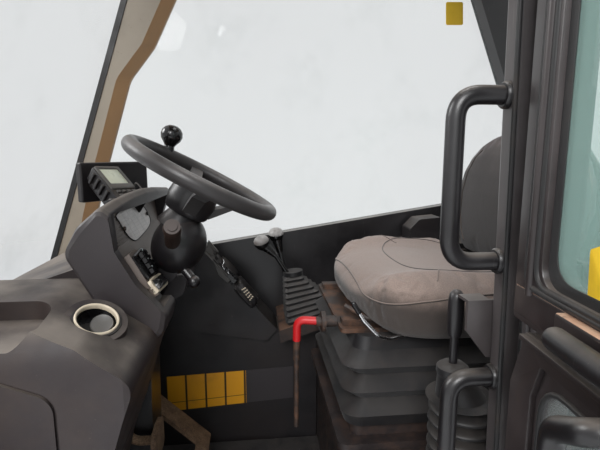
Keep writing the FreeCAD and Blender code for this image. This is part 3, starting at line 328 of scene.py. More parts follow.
def grid_film():
    """Instrument window under a film printed with a fine grid of squares."""
    f = Finish("grid_film", Roughness=0.35, Coat_Weight=0.2)
    uv = f.node("ShaderNodeUVMap")
    n = f.tree.nodes.new("ShaderNodeSeparateXYZ")
    feed(f.tree, n.inputs[0], uv)
    u, v = Val(f.tree, n.outputs[0]), Val(f.tree, n.outputs[1])
    line = f.ramp(((u * 9.0).frac() - 0.5).abs(), 0.4, 0.47).most(f.ramp(((v * 15.0).frac() - 0.5).abs(), 0.4, 0.47))
    patch = f.noise(30.0, 4.0)
    colour = f.mix(f.ramp(patch, 0.3, 0.7), linear(172, 162, 158), linear(148, 139, 135))
    colour = f.mix(line * 0.4, colour, linear(112, 102, 98))
    f.set(Base_Color=colour)
    f.bump(line * -0.15)
    return f.material


def worn_tray():
    """Tray moulding round the hand levers: dark, trodden brown and sandy on its rim and corners."""
    f = Finish("worn_tray", Roughness=0.7)
    patch = f.noise(16.0, 6.0, 0.7)
    up = f.ramp(f.normal()[2], 0.1, 0.8)
    colour = f.mix((f.ramp(patch, 0.35, 0.6) * (up * 0.8 + 0.2)).clamp(), linear(34, 28, 28), linear(96, 70, 54))
    colour = f.mix(f.ramp(f.noise(90.0, 4.0), 0.58, 0.72) * 0.4, colour, linear(60, 40, 32))
    f.set(Base_Color=colour)
    f.bump(f.noise(700.0, 3.0) * 0.15)
    return f.material


def enamel(name, base, second, rough=0.32):
    """Machine enamel with orange peel, faded patches and chips."""
    f = Finish(name, Coat_Roughness=0.12)
    patch = f.noise(3.0, 5.0, 0.6)
    chips = f.ramp(f.noise(46.0, 6.0, 0.72), 0.71, 0.74)
    colour = f.mix(f.ramp(patch, 0.35, 0.7), linear(*base), linear(*second))
    colour = f.mix(chips * 0.7, colour, linear(70, 48, 34))
    colour = f.mix(f.dust(0.5, 1.0) * 0.35, colour, DUST)
    f.set(Base_Color=colour, Roughness=patch * 0.2 + rough, Coat_Weight=0.4)
    f.bump(f.noise(160.0, 2.0) * 0.08 - chips * 0.1)
    return f.material


def rusty(name, base=(62, 50, 46), share=0.6):
    f = Finish(name)
    patch = f.noise(26.0, 7.0, 0.7)
    colour = f.mix(f.ramp(patch, 0.42, 0.66) * share, linear(*base), linear(122, 84, 60))
    colour = f.mix(f.ramp(f.noise(160.0, 4.0), 0.6, 0.75) * share, colour, linear(78, 44, 28))
    f.set(Base_Color=colour, Roughness=f.ramp(patch, 0.3, 0.8) * 0.3 + 0.5)
    f.bump(f.noise(300.0, 4.0, 0.7) * 0.3)
    return f.material


def smooth_black(name="satin_black", base=(24, 22, 24), rough=0.3, dusty=0.5):
    f = Finish(name, Coat_Roughness=0.2)
    patch = f.noise(10.0, 4.0)
    colour = f.mix(f.dust(0.4, 0.95, 12.0, dusty), linear(*base), linear(108, 100, 96))
    f.set(Base_Color=colour, Roughness=f.ramp(patch, 0.3, 0.7) * 0.16 + rough, Coat_Weight=0.15)
    f.bump(f.noise(1300.0, 2.0) * 0.03)
    return f.material


def bright(name, base=(215, 214, 212), rough=0.16):
    f = Finish(name, Metallic=1.0)
    patch = f.noise(120.0, 4.0, 0.65)
    f.set(Base_Color=f.mix(f.ramp(patch, 0.5, 0.8) * 0.4, linear(*base), linear(120, 108, 98)),
          Roughness=f.ramp(patch, 0.35, 0.75) * 0.25 + rough)
    f.bump(patch * 0.02)
    return f.material


def gloss_colour(name, base, rough=0.3):
    f = Finish(name)
    patch = f.noise(40.0, 4.0)
    f.set(Base_Color=f.mix(f.ramp(patch, 0.45, 0.75) * 0.25, linear(*base), linear(*(c * 0.7 for c in base))),
          Roughness=patch * 0.2 + rough)
    f.bump(f.noise(500.0, 2.0) * 0.04)
    return f.material


def plates_finish():
    """Blank plates: four amber ones with a dark border and a rule across, then a black one."""
    f = Finish("blank_plates", Roughness=0.38)
    x, _, z = f.axes()
    step = (0.332 - x) / 0.0555
    across = (step.frac() * 0.0555 - 0.026).abs()
    inside = f.ramp(across, 0.0255, 0.0245)
    rule = f.ramp((z - 0.262 - step * 0.0035).abs(), 0.0006, 0.0012)
    amber = f.mix(inside * rule, linear(60, 42, 14), linear(226, 158, 26))
    grime = f.noise(18.0, 5.0)
    amber = f.mix(f.ramp(grime, 0.5, 0.8) * 0.35, amber, linear(120, 88, 40))
    colour = f.mix(x < 0.108, amber, linear(50, 46, 48))
    f.set(Base_Color=colour)
    f.bump(f.noise(300.0, 2.0) * 0.04)
    return f.material


def pedal_rubber():
    f = Finish("pedal_rubber", Roughness=0.8)
    patch = f.noise(22.0, 6.0, 0.7)
    speck = f.noise(420.0, 3.0, 0.7)
    colour = f.mix(f.ramp(patch, 0.3, 0.65), linear(88, 66, 50), linear(140, 112, 86))
    colour = f.mix(f.ramp(speck, 0.42, 0.6) * 0.6, colour, linear(44, 34, 28))
    f.set(Base_Color=colour)
    f.bump(speck * 0.5)
    return f.material


def worn_grip():
    """Steering wheel rim: soft dark grey, polished and lighter on top."""
    f = Finish("wheel_grip", Sheen_Weight=0.1)
    patch = f.noise(14.0, 5.0)
    colour = f.mix(f.dust(0.25, 0.95, 8.0, 0.55), linear(44, 41, 41), linear(126, 120, 116))
    f.set(Base_Color=colour, Roughness=f.ramp(patch, 0.3, 0.7) * 0.18 + 0.36)
    f.bump((f.cells(700.0) + f.noise(1400.0, 2.0) * 0.4) * 0.06)
    return f.material


BACKDROP = (0.80, 0.81, 0.82, 1.0)


def floor_finish():
    """Pale floor that keeps the shadow near the cab and goes over into the backdrop's colour further out."""
    f = Finish("studio_floor", Roughness=0.9)
    f.set(Base_Color=linear(222, 223, 224))
    x, y, _ = f.axes()
    rays = f.tree.nodes.new("ShaderNodeLightPath")
    seen = Val(f.tree, rays.outputs["Is Camera Ray"]).most(Val(f.tree, rays.outputs["Is Glossy Ray"]))
    seen = seen.most(Val(f.tree, rays.outputs["Is Transmission Ray"]))
    far = f.ramp((x * x + y * y) ** 0.5, 1.6, 5.0)
    glow = f.node("ShaderNodeEmission", 0, {"Color": BACKDROP, "Strength": 1.0})
    both = f.node("ShaderNodeMixShader", 0, {0: far * seen, 1: Val(f.tree, f.shader.outputs[0]), 2: glow})
    feed(f.tree, f.tree.nodes["Material Output"].inputs["Surface"], both)
    return f.material


FINISHES = {}


def make_finishes():
    FINISHES.update(
        frame=black_paint(),
        inner=black_paint("inner_black", (16, 14, 16), 0.25),
        post=black_paint("post_paint", (62, 57, 57), 0.45),
        door=door_paint(),
        rail=door_paint("rail_paint", 1.0),
        handle=black_paint("handle_paint", (18, 16, 18), 0.3),
        roof=enamel("roof_enamel", (242, 178, 34), (232, 160, 22)),
        fascia=moulded("fascia_plastic", (44, 37, 38), 0.85),
        lid=moulded("lid_plastic", (42, 36, 38), 0.8),
        pod=moulded("pod_plastic", (46, 41, 43), 0.6, 0.08, 0.4, (52, 46, 46)),
        face=moulded("dash_face_plastic", (104, 95, 90), 0.7, 0.06, 0.45, (96, 84, 76)),
        dark=moulded("dark_plastic", (20, 18, 21), 0.45, 0.08, 0.45, (30, 24, 24)),
        kick=moulded("kick_ledge", (20, 18, 21), 0.2, 0.08, 0.5, (58, 40, 34)),
        panel=moulded("panel_grey", (84, 82, 80), 0.4, 0.04, 0.4, (72, 68, 64)),
        tray=worn_tray(),
        grid=grid_film(),
        trim=trim_plastic(),
        lining=moulded("roof_lining", (150, 146, 140), 0.3, 0.25, 0.8, (140, 132, 124)),
        clear=glass("clear_glass", (214, 232, 226), 0.07),
        green=glass("door_glass_green", (176, 214, 204), 0.30),
        seal=rubber("seal_rubber", (16, 15, 16), 0.25),
        bellows=rubber("bellows_rubber", (16, 15, 18), 0.14),
        boot=rubber("boot_rubber", (17, 16, 18), 0.2),
        mat=rubber("mat_rubber", (26, 24, 26), 0.15),
        brake=rubber("brake_boot_rubber", (60, 55, 54), 0.7),
        satin=smooth_black(),
        knob=smooth_black("knob_black", (16, 15, 16), 0.14, 0.2),
        stalk=smooth_black("stalk_brown", (52, 38, 32), 0.35, 0.2),
        grip=worn_grip(),
        seat=cloth("seat_cloth"),
        back=cloth("back_cloth", (92, 82, 80), (66, 58, 58)),
        seam=cloth("seam_thread", (132, 116, 107), (96, 84, 78)),
        pan=rusty("seat_metal", (48, 39, 35), 0.5),
        deck=rusty("deck_metal", (40, 34, 34), 0.14),
        bright=bright("bright_metal"),
        chrome=bright("chrome", (206, 206, 208), 0.1),
        red=gloss_colour("red_sleeve", (196, 30, 34)),
        black=gloss_colour("gloss_black", (14, 13, 15), 0.18),
        knob_cap=moulded("knob_cap", (232, 230, 228), 0.1, 0.03, 0.25, (120, 112, 108)),
        lamp=gloss_colour("warning_lamp", (220, 44, 50), 0.25),
        orange=gloss_colour("edge_lamp", (232, 120, 30), 0.3),
        cream=gloss_colour("vent_cream", (212, 198, 176), 0.4),
        screen=gloss_colour("display_screen", (226, 228, 206), 0.2),
        sticker=gloss_colour("blank_sticker", (232, 190, 36), 0.4),
        plates=plates_finish(),
        pedal=pedal_rubber(),
        floor=floor_finish(),
    )


NODE_FINISH = {
    "frame": "base_frame grab_handle_lower grab_handle_upper rear_wall roof_frame roof_guard wing_panel",
    "inner": "front_wall side_wall_left side_wall_right column_foot",
    "post": "pillar_door",
    "door": "door_lower door_upper",
    "roof": "roof_skin",
    "fascia": "front_console dash_shelf",
    "lid": "console_lid",
    "tray": "lever_tray",
    "pod": "dash_pod",
    "face": "dash_panel",
    "dark": "side_console switch_plate rear_cabinet rear_box display_unit monitor air_vent",
    "trim": "pillar_front_left pillar_front_right",
    "lining": "headliner",
    "clear": "windscreen window_right window_left_rear window_rear roof_glass door_lower_glass",
    "green": "door_upper_glass",
    "seal": "windscreen_seal",
    "bellows": "seat_bellows",
    "boot": "lever_boot",
    "brake": "brake_boot",
    "mat": "floor_mat",
    "satin": "column_shroud brake_lever back_shell",
    "knob": "spinner_knob lever_main lever_auxiliary",
    "stalk": "column_stalk",
    "grip": "steering_wheel",
    "pan": "seat_pan seat_rails seat_adjuster",
    "deck": "seat_deck",
    "plates": "label_plates",
    "pedal": "accelerator brake_pedal",
    "seat": "seat_cushion",
    "back": "back_cushion",
}


def dress(obj, finish):
    obj.data.materials.clear()
    obj.data.materials.append(FINISHES[finish])


def smooth_by_angle(mesh, degrees=32.0):
    """Smooth shading with creases kept where faces meet sharply."""
    mesh.polygons.foreach_set("use_smooth", [True] * len(mesh.polygons))
    form = bmesh.new()
    form.from_mesh(mesh)
    limit = math.radians(degrees)
    for edge in form.edges:
        edge.smooth = len(edge.link_faces) == 2 and edge.calc_face_angle(0.0) < limit
    form.to_mesh(mesh)
    form.free()


def studio():
    world = bpy.data.worlds.new("studio")
    bpy.context.scene.world = world
    world.use_nodes = True
    tree = world.node_tree
    tree.nodes.clear()
    rays = tree.nodes.new("ShaderNodeLightPath")
    seen = Val(tree, rays.outputs["Is Camera Ray"]).most(Val(tree, rays.outputs["Is Glossy Ray"]))
    seen = seen.most(Val(tree, rays.outputs["Is Transmission Ray"]))
    light = tree.nodes.new("ShaderNodeBackground")
    light.inputs["Color"].default_value = (0.93, 0.96, 1.0, 1.0)
    light.inputs["Strength"].default_value = 0.6
    shown = tree.nodes.new("ShaderNodeBackground")
    shown.inputs["Color"].default_value = BACKDROP
    shown.inputs["Strength"].default_value = 1.0
    blend = tree.nodes.new("ShaderNodeMixShader")
    feed(tree, blend.inputs[0], seen)
    tree.links.new(light.outputs[0], blend.inputs[1])
    tree.links.new(shown.outputs[0], blend.inputs[2])
    out = tree.nodes.new("ShaderNodeOutputWorld")
    tree.links.new(blend.outputs[0], out.inputs[0])
    bpy.context.scene.view_settings.view_transform = "Standard"

    mesh = bpy.data.meshes.new("floor")
    half = 60.0
    mesh.from_pydata([(-half, -half, 0), (half, -half, 0), (half, half, 0), (-half, half, 0)], [], [(0, 1, 2, 3)])
    floor = bpy.data.objects.new("floor", mesh)
    bpy.context.scene.collection.objects.link(floor)
    dress(floor, "floor")
    lamp("key", (0.9, 3.3, 2.9), (0, 0, 0.8), 1.8, 120.0)
    lamp("sky", (-0.4, -0.2, 4.2), (-0.1, 0, 0.8), 2.6, 70.0, (0.95, 0.98, 1.0))
    lamp("front", (3.4, -0.9, 2.8), (0, 0, 0.9), 1.8, 90.0)


# ---------------------------------------------------------------- upholstery

def add(name, mesh, body, finish, slot_name=None, *replaced):
    """Links a finished piece, with its finish and its body; slot_name is not used."""
    obj = bpy.data.objects.new(name, mesh)
    bpy.context.scene.collection.objects.link(obj)
    dress(obj, finish)
    if replaced:
        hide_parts(*replaced)
    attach(obj, body)
    return obj


def superellipse(angle, half_u, half_v, power):
    c, s = math.cos(angle), math.sin(angle)
    u = math.copysign(abs(c) ** (2 / power), c) * half_u
    v = math.copysign(abs(s) ** (2 / power), s) * half_v
    return u, v


def soften(obj, cap, frames=20, pressure=4.0, pinned=None, voxel=0.005):
    """Voxel remesh, blow up as cloth, cap how far each point moves, and keep the result."""
    remesh = obj.modifiers.new("even", "REMESH")
    remesh.mode, remesh.voxel_size = "VOXEL", voxel
    apply_modifiers(obj)
    start = [v.co.copy() for v in obj.data.vertices]
    cloth_mod = obj.modifiers.new("cloth", "CLOTH")
    settings = cloth_mod.settings
    settings.quality = 4
    settings.use_pressure = True
    settings.uniform_pressure_force = pressure
    settings.effector_weights.gravity = 0.0
    settings.tension_stiffness = 12.0
    settings.compression_stiffness = 12.0
    if pinned:
        group = obj.vertex_groups.new(name="held")
        group.add([v.index for v in obj.data.vertices if pinned(v.co)], 1.0, "REPLACE")
        settings.vertex_group_mass = "held"
    cloth_mod.point_cache.frame_end = frames
    scene = bpy.context.scene
    for step in range(1, frames + 1):
        scene.frame_set(step)
    shaped = obj.evaluated_get(bpy.context.evaluated_depsgraph_get()).to_mesh()
    moved = [v.co.copy() for v in shaped.vertices]
    obj.modifiers.clear()
    for vertex, was, now in zip(obj.data.vertices, start, moved):
        step = now - was
        if step.length > cap:
            step = step.normalized() * cap
        vertex.co = was + step
    scene.frame_set(1)


def apply_modifiers(obj):
    """Bakes the modifiers into the mesh."""
    shaped = bpy.data.meshes.new_from_object(obj.evaluated_get(bpy.context.evaluated_depsgraph_get()))
    obj.modifiers.clear()
    obj.data = shaped


def bake_piece(name, build):
    """A mesh from a bmesh that build fills."""
    form = bmesh.new()
    build(form)
    bmesh.ops.recalc_face_normals(form, faces=form.faces)
    mesh = bpy.data.meshes.new(name)
    form.to_mesh(mesh)
    form.free()
    return mesh


def ring_form(form, rings, cap_ends=True):
    """Skins closed rings of equal count; rings hold points."""
    rows = [[form.verts.new(p) for p in ring] for ring in rings]
    count = len(rows[0])
    for low, high in zip(rows, rows[1:]):
        for i in range(count):
            j = (i + 1) % count
            form.faces.new((low[i], low[j], high[j], high[i]))
    if cap_ends:
        form.faces.new(list(reversed(rows[0])))
        form.faces.new(rows[-1])
    return rows


def tube_piece(name, points, radius, body, finish, slot_name=None, closed=False, smooth=True, sides=6):
    """A round bar or bead along a smooth route."""
    curve = bpy.data.curves.new(name, "CURVE")
    curve.dimensions = "3D"
    curve.bevel_depth, curve.bevel_resolution = radius, sides // 2
    curve.use_fill_caps = True
    spline = curve.splines.new("NURBS" if smooth else "POLY")
    spline.points.add(len(points) - 1)
    for point, at in zip(spline.points, points):
        point.co = (*at, 1.0)
    spline.use_cyclic_u = closed
    if smooth:
        spline.order_u = 3
        spline.use_endpoint_u = not closed
        spline.resolution_u = 6
    source = bpy.data.objects.new(name + "_route", curve)
    mesh = bpy.data.meshes.new_from_object(source)
    bpy.data.objects.remove(source)
    mesh.polygons.foreach_set("use_smooth", [True] * len(mesh.polygons))
    return add(name, mesh, body, finish, slot_name)


def rounded(corners, steps=6):
    """Outline whose corners, given as (u, v) or (u, v, radius), are rounded off."""
    out = []
    for i, corner in enumerate(corners):
        at = Vector(corner[:2])
        before, after = Vector(corners[i - 1][:2]) - at, Vector(corners[(i + 1) % len(corners)][:2]) - at
        if len(corner) < 3:
            out.append(at)
            continue
        reach = min(corner[2] / math.tan(before.angle(after) / 2), before.length * 0.48, after.length * 0.48)
        start, end = at + before.normalized() * reach, at + after.normalized() * reach
        for k in range(steps + 1):
            t = k / steps
            out.append(start.lerp(at, t).lerp(at.lerp(end, t), t))
    return out


def bent(points, radius, steps=6):
    """Route of a bent bar: straight runs with a bend at each corner."""
    out = [Vector(points[0])]
    for a, b, c in zip(points, points[1:], points[2:]):
        at, before, after = Vector(b), Vector(a) - Vector(b), Vector(c) - Vector(b)
        reach = min(radius / math.tan(before.angle(after) / 2), before.length * 0.48, after.length * 0.48)
        start, end = at + before.normalized() * reach, at + after.normalized() * reach
        for k in range(steps + 1):
            t = k / steps
            out.append(start.lerp(at, t).lerp(at.lerp(end, t), t))
    return out + [Vector(points[-1])]


def slab(name, outlines, low, high, place, bevel=0.0012):
    """A plate with softened edges: its outline and holes, its two faces, and where its own axes lie."""
    curve = bpy.data.curves.new(name, "CURVE")
    curve.dimensions, curve.fill_mode = "2D", "BOTH"
    curve.extrude, curve.bevel_depth, curve.bevel_resolution, curve.offset = (high - low) / 2 - bevel, bevel, 1, -bevel
    for line in outlines:
        spline = curve.splines.new("POLY")
        spline.points.add(len(line) - 1)
        for point, at in zip(spline.points, line):
            point.co = (at[0], at[1], 0.0, 1.0)
        spline.use_cyclic_u = True
    source = bpy.data.objects.new(name + "_outline", curve)
    mesh = bpy.data.meshes.new_from_object(source)
    bpy.data.objects.remove(source)
    form = bmesh.new()
    form.from_mesh(mesh)
    for vertex in form.verts:
        vertex.co = place(vertex.co.x, vertex.co.y, (low + high) / 2 + vertex.co.z)
    bmesh.ops.remove_doubles(form, verts=form.verts, dist=0.00002)
    bmesh.ops.recalc_face_normals(form, faces=form.faces)
    form.to_mesh(mesh)
    form.free()
    smooth_by_angle(mesh, 35)
    return mesh


def bar(points, radius, sides=18, round_ends=False):
    """A round bar of straight and bent runs, with flat or rounded ends."""
    points = [Vector(p) for p in points]
    ways = [(b - a).normalized() for a, b in zip(points, points[1:])]
    ways = [ways[0]] + [(a + b).normalized() for a, b in zip(ways, ways[1:])] + [ways[-1]]
    side = ways[0].orthogonal().normalized()
    rings = []
    stations = [(p, w, radius) for p, w in zip(points, ways)]
    if round_ends:
        caps = [(math.sin(a), math.cos(a)) for a in (1.35, 1.0, 0.65, 0.3)]
        stations = ([(points[0] - ways[0] * radius * s, ways[0], radius * c) for s, c in caps] + stations
                    + [(points[-1] + ways[-1] * radius * s, ways[-1], radius * c) for s, c in reversed(caps)])
    for at, way, size in stations:
        side = (side - way * side.dot(way)).normalized()
        other = way.cross(side)
        rings.append([at + (side * math.cos(a) + other * math.sin(a)) * size
                      for a in (2 * math.pi * k / sides for k in range(sides))])
    mesh = bake_piece("bar", lambda form: ring_form(form, rings))
    smooth_by_angle(mesh, 50)
    return mesh


def turning(centre, axis, profile, count=32):
    """A turned form: profile holds (radius, height along the axis)."""
    axis = Vector(axis).normalized()
    side = axis.orthogonal().normalized()
    other = axis.cross(side)
    rings = [[Vector(centre) + axis * h + (side * math.cos(a) + other * math.sin(a)) * max(r, 0.0002)
              for a in (2 * math.pi * i / count for i in range(count))] for r, h in profile]
    mesh = bake_piece("turning", lambda form: ring_form(form, rings))
    smooth_by_angle(mesh, 40)
    return mesh


def joined(name, meshes):
    """Several forms in one mesh."""
    form = bmesh.new()
    for mesh in meshes:
        form.from_mesh(mesh)
    done = bpy.data.meshes.new(name)
    form.to_mesh(done)
    form.free()
    return done


SEAT_MID = -0.268                      # where the cushion is widest, along X
SEAT_FRONT, SEAT_BACK, SEAT_HALF = 0.172, 0.160, 0.240
SEAT_LOW, SEAT_TOP = 0.660, 0.731
SEAT_COUNT = 112
PAN_LIFT = 0.0135                      # how much higher the underside lies in the middle
SKIRT = 0.011                          # how far the near and far sides hang below the pan


def seat_plan(angle, share):
    """A point of the cushion's outline drawn in to share: bowed at the nose, square at the rear."""
    c, s = math.cos(angle), math.sin(angle)
    power = 2.7 if c > 0 else 5.0
    reach = SEAT_FRONT if c > 0 else SEAT_BACK
    return (SEAT_MID + math.copysign(abs(c) ** (2 / power), c) * reach * share,
            math.copysign(abs(s) ** (2 / power), s) * SEAT_HALF * share)


def seat_top(x, y):
    """Height of the cushion's top: raised bolsters at both sides, a dished middle and a nose that rolls down."""
    across = min(1.0, abs(y) / SEAT_HALF)
    along = (x - SEAT_MID) / SEAT_FRONT
    bolster = 0.016 * math.exp(-((across - 0.76) / 0.2) ** 2)
    front = 0.008 * math.exp(-((along - 0.2) / 0.4) ** 2) - 0.012 * max(0.0, along - 0.45) ** 2 * 4
    return SEAT_TOP + bolster + front


def seat_low(y):
    """Height of the cushion's underside: over the pan in the middle, lower under both sides."""
    return SEAT_LOW + PAN_LIFT * (1.0 - min(1.0, max(0.0, (abs(y) / SEAT_HALF - 0.5) / 0.3)))


def seat_cushion():
    """Cushion with bolsters, sewn cover and sides that hang below the pan."""
    sides = ((0.78, 0.0), (0.86, -0.02), (0.93, 0.04), (0.975, 0.18), (1.0, 0.40), (1.0, 0.62), (0.98, 0.78), (0.945, 0.90))
    tops = (0.88, 0.80, 0.70, 0.58, 0.44, 0.28, 0.1)

    def build(form):
        rings = []
        for share, height in sides:
            ring = []
            for i in range(SEAT_COUNT):
                x, y = seat_plan(2 * math.pi * i / SEAT_COUNT, share)
                side = min(1.0, max(0.0, (abs(y) / SEAT_HALF - 0.55) / 0.3))
                low = seat_low(y) - SKIRT * side * max(0.0, 1 - height * 2) * (share > 0.8)
                ring.append((x, y, low + (seat_top(x, y) - seat_low(y)) * height))
            rings.append(ring)
        for share in tops:
            ring = []
            for i in range(SEAT_COUNT):
                x, y = seat_plan(2 * math.pi * i / SEAT_COUNT, share)
                ring.append((x, y, seat_top(x, y)))
            rings.append(ring)
        ring_form(form, rings)
    obj = add("seat_cushion_cover", bake_piece("seat_cushion_cover", build), "seat", "seat", "seat_cloth", "seat_cushion")
    soften(obj, 0.008, pinned=lambda p: p.z < seat_low(p.y) + 0.004)
    smooth_by_angle(obj.data, 60)
    return obj


# Side seam: place along X, height over SEAT_TOP
SIDE_SEAM = ((-0.43, -0.002), (-0.33, -0.002), (-0.246, -0.003), (-0.198, -0.009), (-0.164, -0.017), (-0.137, -0.023),
             (-0.117, -0.021), (-0.104, -0.013), (-0.096, -0.007))


def between(table, at):
    """Straight interpolation in a table of (place, value)."""
    for (a, low), (b, high) in zip(table, table[1:]):
        if at <= b:
            return low + (high - low) * max(0.0, (at - a) / (b - a))
    return table[-1][1]


def seat_seams(cushion):
    """Piping round the cushion where top and side meet, and the seams of its middle panel."""
    tree = surface_of(cushion)
    rim = []
    count = 150
    for i in range(count):
        x, y = seat_plan(2 * math.pi * i / count, 1.0)
        start = Vector((x, y, SEAT_TOP + between(SIDE_SEAM, x)))
        out = Vector((x - SEAT_MID, y, 0)).normalized()
        hit = tree.ray_cast(start + out * 0.06, -out)[0] or tree.find_nearest(start)[0]
        rim.append(hit + out * 0.0006)
    rim = smooth_loop(rim, 2)
    bead("seat_piping", [rim], 0.0019, "seat", "seam", closed=True)
    # middle panel, seen from above
    panel = []
    for i in range(90):
        t = 2 * math.pi * i / 90
        c, s = math.cos(t), math.sin(t)
        x = -0.308 + math.copysign(abs(c) ** 0.8, c) * (0.062 if c > 0 else 0.1)
        y = math.copysign(abs(s) ** 0.45, s) * 0.165
        panel.append(drop(tree, x + 0.035 * (1 - (y / 0.165) ** 2) * (c > 0), y))
    cross = [[drop(tree, -0.27 + 0.035 * k / 12, side * (0.13 + 0.075 * k / 12)) for k in range(13)] for side in (-1, 1)]
    bead("seat_panel_seam", [smooth_loop(panel, 2)], 0.0010, "seat", "back", closed=True)
    bead("seat_cross_seams", cross, 0.0010, "seat", "seam")


BACK_FOOT = Vector((-0.475, 0.0, 0.700))
BACK_LEAN = math.radians(8.0)
# Backrest: height up it, half width, front, rear
BACK_FORM = ((0.024, 0.160, 0.020, -0.024), (0.034, 0.178, 0.029, -0.029), (0.07, 0.205, 0.037, -0.031),
             (0.12, 0.228, 0.041, -0.032), (0.17, 0.236, 0.043, -0.032), (0.22, 0.226, 0.042, -0.032),
             (0.26, 0.200, 0.038, -0.031), (0.29, 0.162, 0.032, -0.029), (0.311, 0.110, 0.024, -0.025),
             (0.321, 0.055, 0.014, -0.018))


def on_back(x, y, h):
    """A point on the leaning backrest: x forward of its axis, h up along it."""
    c, s = math.cos(BACK_LEAN), math.sin(BACK_LEAN)
    return BACK_FOOT + Vector((x * c - h * s, y, x * s + h * c))


# Head pad above it: the same columns
HEAD_FORM = ((0.296, 0.040, 0.000, -0.020), (0.302, 0.078, 0.020, -0.026), (0.33, 0.104, 0.030, -0.030),
             (0.37, 0.110, 0.032, -0.031), (0.40, 0.100, 0.028, -0.029), (0.42, 0.072, 0.020, -0.024),
             (0.43, 0.036, 0.008, -0.016))
# Shell behind it: height, half width, front, rear
SHELL_FORM = ((0.020, 0.176, -0.026, -0.036), (0.06, 0.196, -0.026, -0.044), (0.16, 0.214, -0.026, -0.050),
              (0.24, 0.194, -0.026, -0.050), (0.29, 0.140, -0.024, -0.048), (0.33, 0.088, -0.024, -0.044),
              (0.38, 0.080, -0.024, -0.042), (0.405, 0.050, -0.024, -0.036))


def back_form(name, table, rows, count=72, power=2.8, wrap=0.012):
    """A leaning padded form from a table of its levels."""
    def build(form):
        rings = []
        low, high = table[0][0], table[-1][0]
        for r in range(rows + 1):
            h = low + (high - low) * (1 - (1 - r / rows) ** 1.35)
            wide, front, rear = (between([(row[0], row[k]) for row in table], h) for k in (1, 2, 3))
            middle, half = (front + rear) / 2, (front - rear) / 2
            ring = []
            for i in range(count):
                u, v = superellipse(2 * math.pi * i / count, half, wide, power)
                ring.append(on_back(middle + u + wrap * (abs(v) / wide) ** 3, v, h))
            rings.append(ring)
        ring_form(form, rings)
    return bake_piece(name, build)


def back_cushion():
    obj = add("back_cushion_cover", back_form("back_cushion_cover", BACK_FORM, 30), "backrest", "back", "seat_cloth",
              "back_cushion")
    soften(obj, 0.005)
    smooth_by_angle(obj.data, 60)
    head = add("head_pad", back_form("head_pad", HEAD_FORM, 18, 48, 2.4, 0.004), "backrest", "back", "seat_cloth",
               "back_cushion")
    soften(head, 0.004)
    smooth_by_angle(head.data, 60)
    shell = add("back_shell_moulding", back_form("back_shell_moulding", SHELL_FORM, 24, 64, 4.0), "backrest", "satin", None,
                "back_shell")
    smooth_by_angle(shell.data, 40)
    return obj


def back_seams(cushion):
    """Two seams that run up the front of the backrest, and the one round its edge."""
    tree = surface_of(cushion)
    lean = on_back(0, 0, 1) - on_back(0, 0, 0)
    ahead = Vector((lean.z, 0, -lean.x))
    lines = []
    for side in (-1, 1):
        line = []
        for k in range(25):
            h = 0.05 + 0.225 * k / 24
            wide = between([(row[0], row[1]) for row in BACK_FORM], h)
            hit = tree.ray_cast(on_back(0.2, side * wide * 0.72, h), -ahead)[0]
            if hit:
                line.append(hit + ahead * 0.0006)
        lines.append(line)
    bead("back_seams", lines, 0.0016, "backrest", "seam")
    rim = []
    for k in range(90):
        t = 2 * math.pi * k / 90
        h = 0.172 + 0.148 * math.sin(t)
        wide = between([(row[0], row[1]) for row in BACK_FORM], h)
        v = math.cos(t)
        out = (on_back(0, v * wide, h) - on_back(0, 0, 0.172)).normalized()
        hit = tree.ray_cast(on_back(0.014, v * wide, h) + out * 0.08, -out)[0]
        if hit:
            rim.append(hit + out * 0.0006)
    bead("back_piping", [smooth_loop(rim, 2)], 0.0022, "backrest", "seam", closed=True)


# ---------------------------------------------------------------- small fittings

def surface_of(*objects):
    """Search tree over the faces of some objects."""
    points, faces = [], []
    for obj in objects:
        base = len(points)
        points += [v.co.copy() for v in obj.data.vertices]
        faces += [[base + i for i in f.vertices] for f in obj.data.polygons]
    return BVHTree.FromPolygons(points, faces)


def drop(tree, x, y):
    """The point of a surface under (x, y)."""
    hit = tree.ray_cast(Vector((x, y, 2.0)), Vector((0, 0, -1)))[0]
    return hit + Vector((0, 0, 0.0006))


def smooth_loop(points, rounds):
    for _ in range(rounds):
        points = [points[i - 1] * 0.25 + p * 0.5 + points[(i + 1) % len(points)] * 0.25 for i, p in enumerate(points)]
    return points


SEEN = {}


def sight(px, py, names, needed=True):
    """Where the line of sight through a picture point meets the named nodes, and the way that face looks."""
    if names not in SEEN:
        SEEN[names] = surface_of(*(NODES[n] for n in names.split()))
    ray = AHEAD + RIGHT * ((px - PICTURE[0] / 2) / FOCUS) + UP * ((PICTURE[1] / 2 - py) / FOCUS)
    hit, normal, _, _ = SEEN[names].ray_cast(EYE, ray.normalized())
    if hit is None:
        if needed:
            raise ValueError("no %s at %g, %g" % (names, px, py))
        return None
    return hit, (-normal if normal.dot(ray) > 0 else normal)


def through(px, py, at, way):
    """Where the line of sight through a picture point meets a plane."""
    ray = AHEAD + RIGHT * ((px - PICTURE[0] / 2) / FOCUS) + UP * ((PICTURE[1] / 2 - py) / FOCUS)
    return EYE + ray * ((at - EYE).dot(way) / ray.dot(way))


